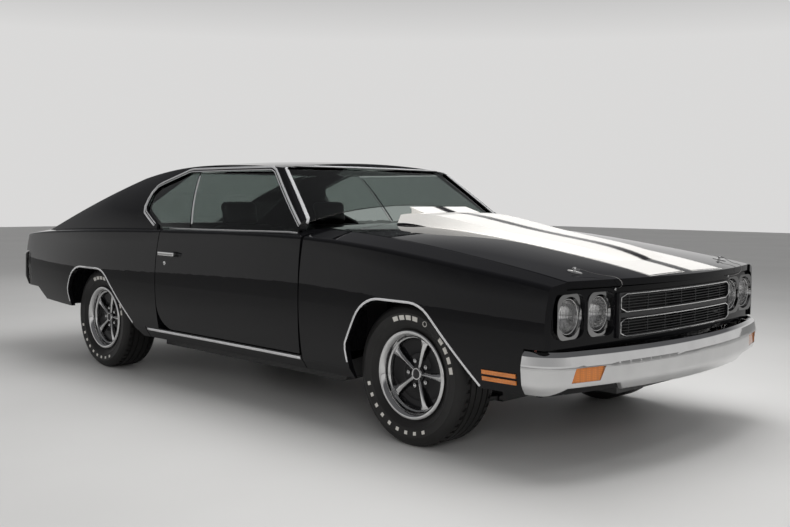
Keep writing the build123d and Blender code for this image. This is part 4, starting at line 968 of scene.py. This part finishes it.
def wall_mark(start, sweep, low_r, high_r):
    """One raised bar on the tyre's outer wall, between two angles in degrees."""
    middle_r = (low_r + high_r) / 2
    spots = [(low_r, on_wall(low_r)), (middle_r, on_wall(middle_r) + 0.0004), (high_r, on_wall(high_r))]
    turn = math.radians(start)
    points = [hub_centre + Vector((r * math.cos(turn), -h, r * math.sin(turn))) for r, h in spots]
    piece = path_piece(points)
    bpy.ops.mesh.spin(steps=3, angle=-math.radians(sweep), center=hub_centre, axis=(0, 1, 0))
    leave_edit()
    face_outward(piece, (0, -1, 0))
    apply_modifier(piece, "SOLIDIFY", thickness=0.0016, offset=0.3)
    return piece


# first angle, how many, degrees between them, length in degrees, inner and outer radius
mark_rows = (
    (84.5, 4, 9.0, 6.6, 0.255, 0.2765),
    (15.0, 4, 10.0, 6.4, 0.255, 0.2765),
    (197.5, 9, 12.0, 3.8, 0.258, 0.274),
)
marks = []
for first, count, gap, sweep, low_r, high_r in mark_rows:
    marks += [wall_mark(first + index * gap, sweep, low_r, high_r) for index in range(count)]
start_fresh()
ring_turn, ring_r = math.radians(67.5), 0.266
beside_wall = hub_centre + Vector((ring_r * math.cos(ring_turn), -0.3, ring_r * math.sin(ring_turn)))
bpy.ops.mesh.primitive_torus_add(major_radius=0.0115, minor_radius=0.0017, major_segments=28, minor_segments=8,
                                 location=skin_point(tyre, beside_wall, (0, 1, 0)),
                                 rotation=(math.pi / 2, 0, 0))
marks.append(bpy.context.active_object)
apply_place()
mark = joined(marks)
complete(mark, "wall_marks_front_right", "wheel_front_right", white_rubber, 30)
print("marks", len(mark.data.polygons), "faces")

# %% The other three wheels
wheel_set = (
    (rim, "rim", "wheel_grey", chrome), (disc, "wheel_disc", "wheel_grey", body_black),
    (cap, "cap", "trim_black", moulded), (cap_ring, "cap_ring", "chrome", chrome),
    (nut, "nuts", "chrome", chrome), (spokes, "bright_spokes", "wheel_grey", chrome),
    (tyre, "road_tyre", "tyre", rubber), (mark, "wall_marks", "tyre", white_rubber),
)
for end, shift in (("front", 0.0), ("rear", rear_axle_x - front_axle_x)):
    for side in ("right", "left"):
        for piece, kind, slot, material in wheel_set:
            made = piece
            if (end, side) != ("front", "right"):
                made = duplicate(piece)
                bpy.ops.transform.translate(value=(shift, 0, 0))
                if side == "left":
                    bpy.ops.transform.resize(value=(1, -1, 1), center_override=(0, 0, 0))
                angle = 30 if slot == "tyre" else 40
                complete(made, f"{kind}_{end}_{side}", f"wheel_{end}_{side}", material, angle)
            if kind == "road_tyre":
                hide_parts(f"tyre_{end}_{side}")
            if kind == "rim":
                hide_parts(f"wheel_{end}_{side}")
print("four wheels dressed")

# %% [markdown]
# ## Lamps and grille outlines
# A sealed-beam headlamp is a bright bowl behind a domed lens with upright flutes. Bowl, lens and ring are
# each turned about the lamp's own axis. The grille's two openings have a thin bright outline. It could be a
# strip like the other mouldings, but it hangs in the opening with no panel behind it, so it is a round bar
# along the nose's curve.

# %% Headlamps
# clear glass with upright flutes pressed into it
glass_stops = [(0.3, grey(0.93)), (0.7, grey(0.97))]
lamp_glass = finish("fluted lamp glass", 12.0, glass_stops, transmission_weight=1.0, ior=1.42, roughness=0.02)
tree = lamp_glass.node_tree
sockets = {"Vector": object_coords(tree), "Scale": 34.0}
flutes = add_node(tree, "ShaderNodeTexWave", sockets, wave_type="BANDS", bands_direction="Y")
bump(tree, flutes.outputs["Fac"], 0.35, 0.002, tree.nodes["Principled BSDF"])
lamp_z = 0.665
lamp_places = ((0.78, 2.321), (0.595, 2.341))   # distance from the middle and x, outer lamp first
bowl_profile = mm([
    (72.5, -10), (68, -26), (56, -45), (38, -59), (18, -67), (0, -69), (0, -71), (20, -69), (40, -61),
    (58, -47), (70, -28), (72.8, -16)])
lens_profile = mm([
    (0, 7.8), (28, 6.8), (52, 4), (66, 0), (72.2, -5), (72.2, -9), (66, -4.5), (50, -0.5), (28, 2.5), (0, 3.5)])
ring_profile = mm([(69, 0.5), (70.5, 3.2), (72.2, 3.6), (73, 1.5), (73, -6), (70, -6)])
lamp_set = (
    ("bowl", bowl_profile, "chrome", chrome), ("lens", lens_profile, "lamp_glass", lamp_glass),
    ("ring", ring_profile, "chrome", chrome),
)
lamps = []
for side, way in (("right", -1), ("left", 1)):
    for row, (w, x) in enumerate(lamp_places):
        for kind, profile, slot, material in lamp_set:
            lamps.append(turned(profile, (x, way * w, lamp_z), "x", 40))
            complete(lamps[-1], f"lamp_{kind}_{side}_{row}", "root", material)
for lamp in lamps:
    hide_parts("headlamps")
print(len(lamps), "lamp pieces")

# %% Grille outlines
nose_tip_x, nose_corner_x, nose_half_width = 2.4185, 2.3225, 0.9


def nose_x(y):
    """How far forward the nose's plan curve is at y."""
    depth = nose_tip_x - nose_corner_x
    radius = (depth ** 2 + nose_half_width ** 2) / (2 * depth)
    return nose_tip_x - radius + math.sqrt(radius ** 2 - y ** 2)


def bar_round(points, radius):
    """A round bar along a closed line: the chain of edges becomes a curve with a bevel, then a mesh again."""
    piece = path_piece(points, True)
    leave_edit()
    bpy.ops.object.convert(target="CURVE")
    piece = bpy.context.active_object
    piece.data.bevel_depth = radius
    piece.data.bevel_resolution = 2
    piece.data.use_fill_caps = False
    bpy.ops.object.convert(target="MESH")
    return bpy.context.active_object


opening_half, corner_r, bar_r = 0.489, 0.012, 0.003
for name, low, high in (("upper", 0.6665, 0.7425), ("lower", 0.5615, 0.6375)):
    corners = [(0.0, high), (opening_half, high, corner_r), (opening_half, low, corner_r),
               (-opening_half, low, corner_r), (-opening_half, high, corner_r), (0.0, high)]
    flat = resampled(rounded(corners, 4), 0.045)
    outline = bar_round([Vector((nose_x(q.x) + 0.0005, q.x, q.y)) for q in flat], bar_r)
    complete(outline, f"grille_outline_{name}", "root", chrome)
print("grille outlines done")

# %% [markdown]
# ## Handles, locks, mirror and bonnet pins
# These are small castings and turned pins. They could be modelled apart and placed afterwards. Each starts
# instead as a primitive of about its size where it sits on the panel, and is bevelled or turned to its shape
# there. A thin wire lanyard runs from each pin's ring over the bonnet's front edge to a screw in the nose. It
# is a curve with a round bevel, since a wire is even all along.

# %% Door handles and locks
handle = box_piece((-0.4075, -0.9335, 0.8), (0.168, 0.04, 0.0285), 0.008, 4)
pair(handle, "door_handle", "door_right", chrome)
lock_place = skin_point(nodes["door_right"], (-0.452, -1.2, 0.742), (0, 1, 0))
lock = turned(mm([(0, 3), (7, 2.8), (11.2, 1.8), (12.5, 0), (12.5, -6), (0, -6)]), lock_place, "y", 24)
pair(lock, "door_lock", "door_right", chrome)
print("handles and locks done")

# %% Door mirror
mirror_centre = Vector((0.56, 0.899, 1.009))
glass_face = mirror_centre - Vector((0.0425, 0, 0))      # the shell is cut off flat here, where the glass sits
start_fresh()
bpy.ops.mesh.primitive_uv_sphere_add(segments=32, ring_count=20, radius=0.0458, location=mirror_centre)
mirror_head = bpy.context.active_object
edit_all()
bpy.ops.mesh.bisect(plane_co=glass_face, plane_no=(-1, 0, 0), clear_outer=True, use_fill=True)
leave_edit()
complete(mirror_head, "mirror_shell", "door_left", chrome)
print("mirror done")

# %% Bonnet pins
pin_x, pin_y = 2.262, 0.645
above_bonnet = 1.3             # rays down onto the bonnet start at this height
ahead_of_nose = 2.7            # and rays back onto the nose start at this x
for side, way in (("right", -1), ("left", 1)):
    foot = skin_point(nodes["hood"], (pin_x, way * pin_y, above_bonnet), (0, 0, -1))
    start_fresh()
    bpy.ops.mesh.primitive_cylinder_add(vertices=32, radius=0.024, depth=0.003,
                                        location=foot + Vector((0, 0, 0.0012)))
    plate = bpy.context.active_object
    bpy.ops.transform.resize(value=(1.45, 1.0, 1.0))
    apply_place()
    bpy.ops.transform.rotate(value=math.radians(-10), orient_axis="Y", center_override=foot)
    complete(bevelled(plate, 0.0009), f"pin_plate_{side}", "bonnet", chrome)
    pin = rod_piece(foot + Vector((0, 0, 0.0105)), 0.0058, 0.024, 0.0022, 3)
    complete(pin, f"bonnet_pin_{side}", "bonnet", chrome)
    start_fresh()
    bpy.ops.mesh.primitive_torus_add(major_radius=0.015, minor_radius=0.0016, major_segments=32,
                                     minor_segments=10, location=foot + Vector((0.006, 0, 0.014)),
                                     rotation=(0, math.radians(14), 0))
    complete(bpy.context.active_object, f"pin_ring_{side}", "bonnet", chrome)
    start = foot + Vector((0.0225, -way * 0.004, 0.015))
    over = skin_point(nodes["hood"], (2.345, way * 0.6, above_bonnet), (0, 0, -1)) + Vector((0, 0, 0.004))
    lip = Vector((2.424, way * 0.56, 0.822))
    below = Vector((2.429, way * 0.535, 0.776))
    end = skin_point(nodes["nose_panel"], (ahead_of_nose, way * 0.512, 0.764), (-1, 0, 0))
    end = end + Vector((0.0035, 0, 0))
    route = (start, over, lip, below, end)
    print("lanyard points", [tuple(round(v, 3) for v in q) for q in route])
    line = bpy.data.curves.new(f"lanyard_{side}", "CURVE")
    line.dimensions = "3D"
    spline = line.splines.new("NURBS")
    spline.points.add(len(route) - 1)
    for point, place in zip(spline.points, route):
        point.co = (*place, 1.0)
    spline.order_u = 3
    spline.use_endpoint_u = True
    spline.resolution_u = 12
    line.bevel_depth = 0.0011
    line.bevel_resolution = 3
    line.use_fill_caps = True
    lanyard = bpy.data.objects.new(f"lanyard_{side}", line)
    bpy.context.collection.objects.link(lanyard)
    lanyard.data.materials.append(bare_steel)
    eye = rod_piece(end - Vector((0.003, 0, 0)), 0.006, 0.008, 0.0015, rotation=(0, math.pi / 2, 0))
    complete(eye, f"lanyard_screw_{side}", "bonnet", chrome)
    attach(lanyard, "bonnet")
print("bonnet pins done")

# %% [markdown]
# ## Seats
# The seats are vinyl covers drawn over foam, with sewn pleats across the part that is sat on. Each cushion
# could be carved as a block with rounded edges, but a stuffed cover has swollen faces and sides that pull in.
# So each starts a little small, is blown up as cloth under pressure, and gets its pleats afterwards.

# %% Stuffed cushions
cover_grid = 0.016             # spacing of the cover's mesh before it is blown up
swell_limit = 0.012            # no point of the cover moves out further than this
pleat_depth = 0.0065
pleat_width = 0.0085
plain_border = 0.055           # the pleats stop this far from a cushion's sides
pleat_fade = 0.012


def stuffed(corners, low_y, high_y, top, pitch, across):
    """A cushion from its side outline: blown up as cloth, then pleated where its faces look the way of top."""
    piece = path_piece([(x, low_y, z) for x, z in corners], True)
    bpy.ops.mesh.edge_face_add()
    bpy.ops.mesh.extrude_region_move(TRANSFORM_OT_translate={"value": (0, high_y - low_y, 0)})
    bpy.ops.mesh.select_all(action="SELECT")
    bpy.ops.mesh.normals_make_consistent(inside=False)
    leave_edit()
    apply_place()
    bevelled(piece, 0.022, 3)
    apply_modifier(piece, "REMESH", mode="VOXEL", voxel_size=cover_grid)
    before = [vertex.co.copy() for vertex in piece.data.vertices]
    cloth = piece.modifiers.new("cover", "CLOTH")
    cloth.settings.use_pressure = True
    cloth.settings.uniform_pressure_force = 4.0
    cloth.settings.effector_weights.gravity = 0.0
    for frame_number in range(1, 21):
        bpy.context.scene.frame_set(frame_number)
    blown = piece.evaluated_get(bpy.context.evaluated_depsgraph_get())
    after = [vertex.co.copy() for vertex in blown.data.vertices]
    piece.modifiers.remove(cloth)
    for vertex, start, end in zip(piece.data.vertices, before, after):
        move = end - start
        if move.length > swell_limit:
            move = move * (swell_limit / move.length)
        vertex.co = start + move
    bpy.context.scene.frame_set(1)
    apply_modifier(piece, "SUBSURF", levels=1, render_levels=1)
    piece.data.update()
    looks = Vector(top).normalized()
    column = "xyz".index(across)
    middle_y = (low_y + high_y) / 2
    half_y = (high_y - low_y) / 2
    dents = []
    for vertex in piece.data.vertices:
        facing = vertex.normal.dot(looks)
        inside = min(1.0, max(0.0, (half_y - plain_border - abs(vertex.co.y - middle_y)) / pleat_fade))
        away = abs((vertex.co[column] / pitch) % 1.0 - 0.5) * pitch
        dents.append(pleat_depth * math.exp(-(away / pleat_width) ** 2) * inside * max(0.0, facing) ** 2)
    for vertex, dent in zip(piece.data.vertices, dents):
        vertex.co = vertex.co - looks * dent
    return piece


def cover(piece, name):
    """Finishes a stuffed cushion in vinyl."""
    complete(piece, name, "root", seat_vinyl, 60)
    print(name, len(piece.data.polygons), "faces")


seat_y = -0.375
seat_low_y, seat_high_y = seat_y - 0.214, seat_y + 0.214
leaning = (1, 0, 0.25)         # the way that the face of a front seat's back looks
no_pleats = 9.0                # a spacing wider than the piece
cushion_line = [(0.184, 0.378), (0.186, 0.47), (0.15, 0.49), (-0.325, 0.462), (-0.325, 0.378)]
back_line = [(-0.246, 0.478), (-0.372, 0.955), (-0.395, 0.975), (-0.455, 0.965), (-0.482, 0.935),
             (-0.368, 0.48)]
pad_line = [(-0.402, 0.965), (-0.428, 1.095), (-0.455, 1.108), (-0.505, 1.1), (-0.508, 1.07), (-0.474, 0.965)]
front_cushion = stuffed(cushion_line, seat_low_y, seat_high_y, (0, 0, 1), 0.062, "x")
cover(front_cushion, "front_cushion_right")
front_back = stuffed(back_line, seat_low_y, seat_high_y, leaning, 0.062, "z")
cover(front_back, "front_back_right")
head_pad = stuffed(pad_line, seat_y - 0.12, seat_y + 0.12, leaning, no_pleats, "z")
cover(head_pad, "head_pad_right")
base = box_piece((-0.07, seat_y, 0.334), (0.38, 0.38, 0.078), 0.006)
complete(base, "seat_base_right", "root", moulded)
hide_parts("front_seats")
for piece, kind, fill in ((front_cushion, "front_cushion", 0.8), (front_back, "front_back", 0.8),
                          (head_pad, "head_pad", 0.9)):
    made = left_copy(piece, kind + "_left", "root", seat_vinyl, 60)
left_copy(base, "seat_base_left", "root", moulded, 60)
print("front seats", len(base.data.polygons), "faces in one base")

# %% Rear bench
bench_half = 0.588
bench_line = [(-0.742, 0.478), (-0.742, 0.56), (-0.775, 0.576), (-1.08, 0.548), (-1.08, 0.478)]
bench_back_line = [(-1.052, 0.57), (-1.168, 0.895), (-1.195, 0.915), (-1.28, 0.915), (-1.298, 0.88),
                   (-1.29, 0.705), (-1.195, 0.482), (-1.1, 0.482)]
bench = stuffed(bench_line, -bench_half, bench_half, (0, 0, 1), 0.066, "x")
cover(bench, "bench_cushion")
cover(stuffed(bench_back_line, -bench_half, bench_half, (1, 0, 0.35), 0.066, "z"), "bench_back")
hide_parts("rear_seat")
print("bench", [round(v, 3) for v in bench.dimensions])

# %% [markdown]
# ## Boot side wells
# Beside the boot floor the real car has pressed wells that close the boot off from the ground. Their ribs and
# drain plugs could be pressed in too, but only a dark corner of them shows with the lid open. So each is one
# flat panel.

# %% Boot side wells
well = box_piece((-2.055, -0.7195, 0.4675), (0.59, 0.241, 0.003), 0.0008)
pair(well, "boot_well", "root", moulded)
print("boot wells done")
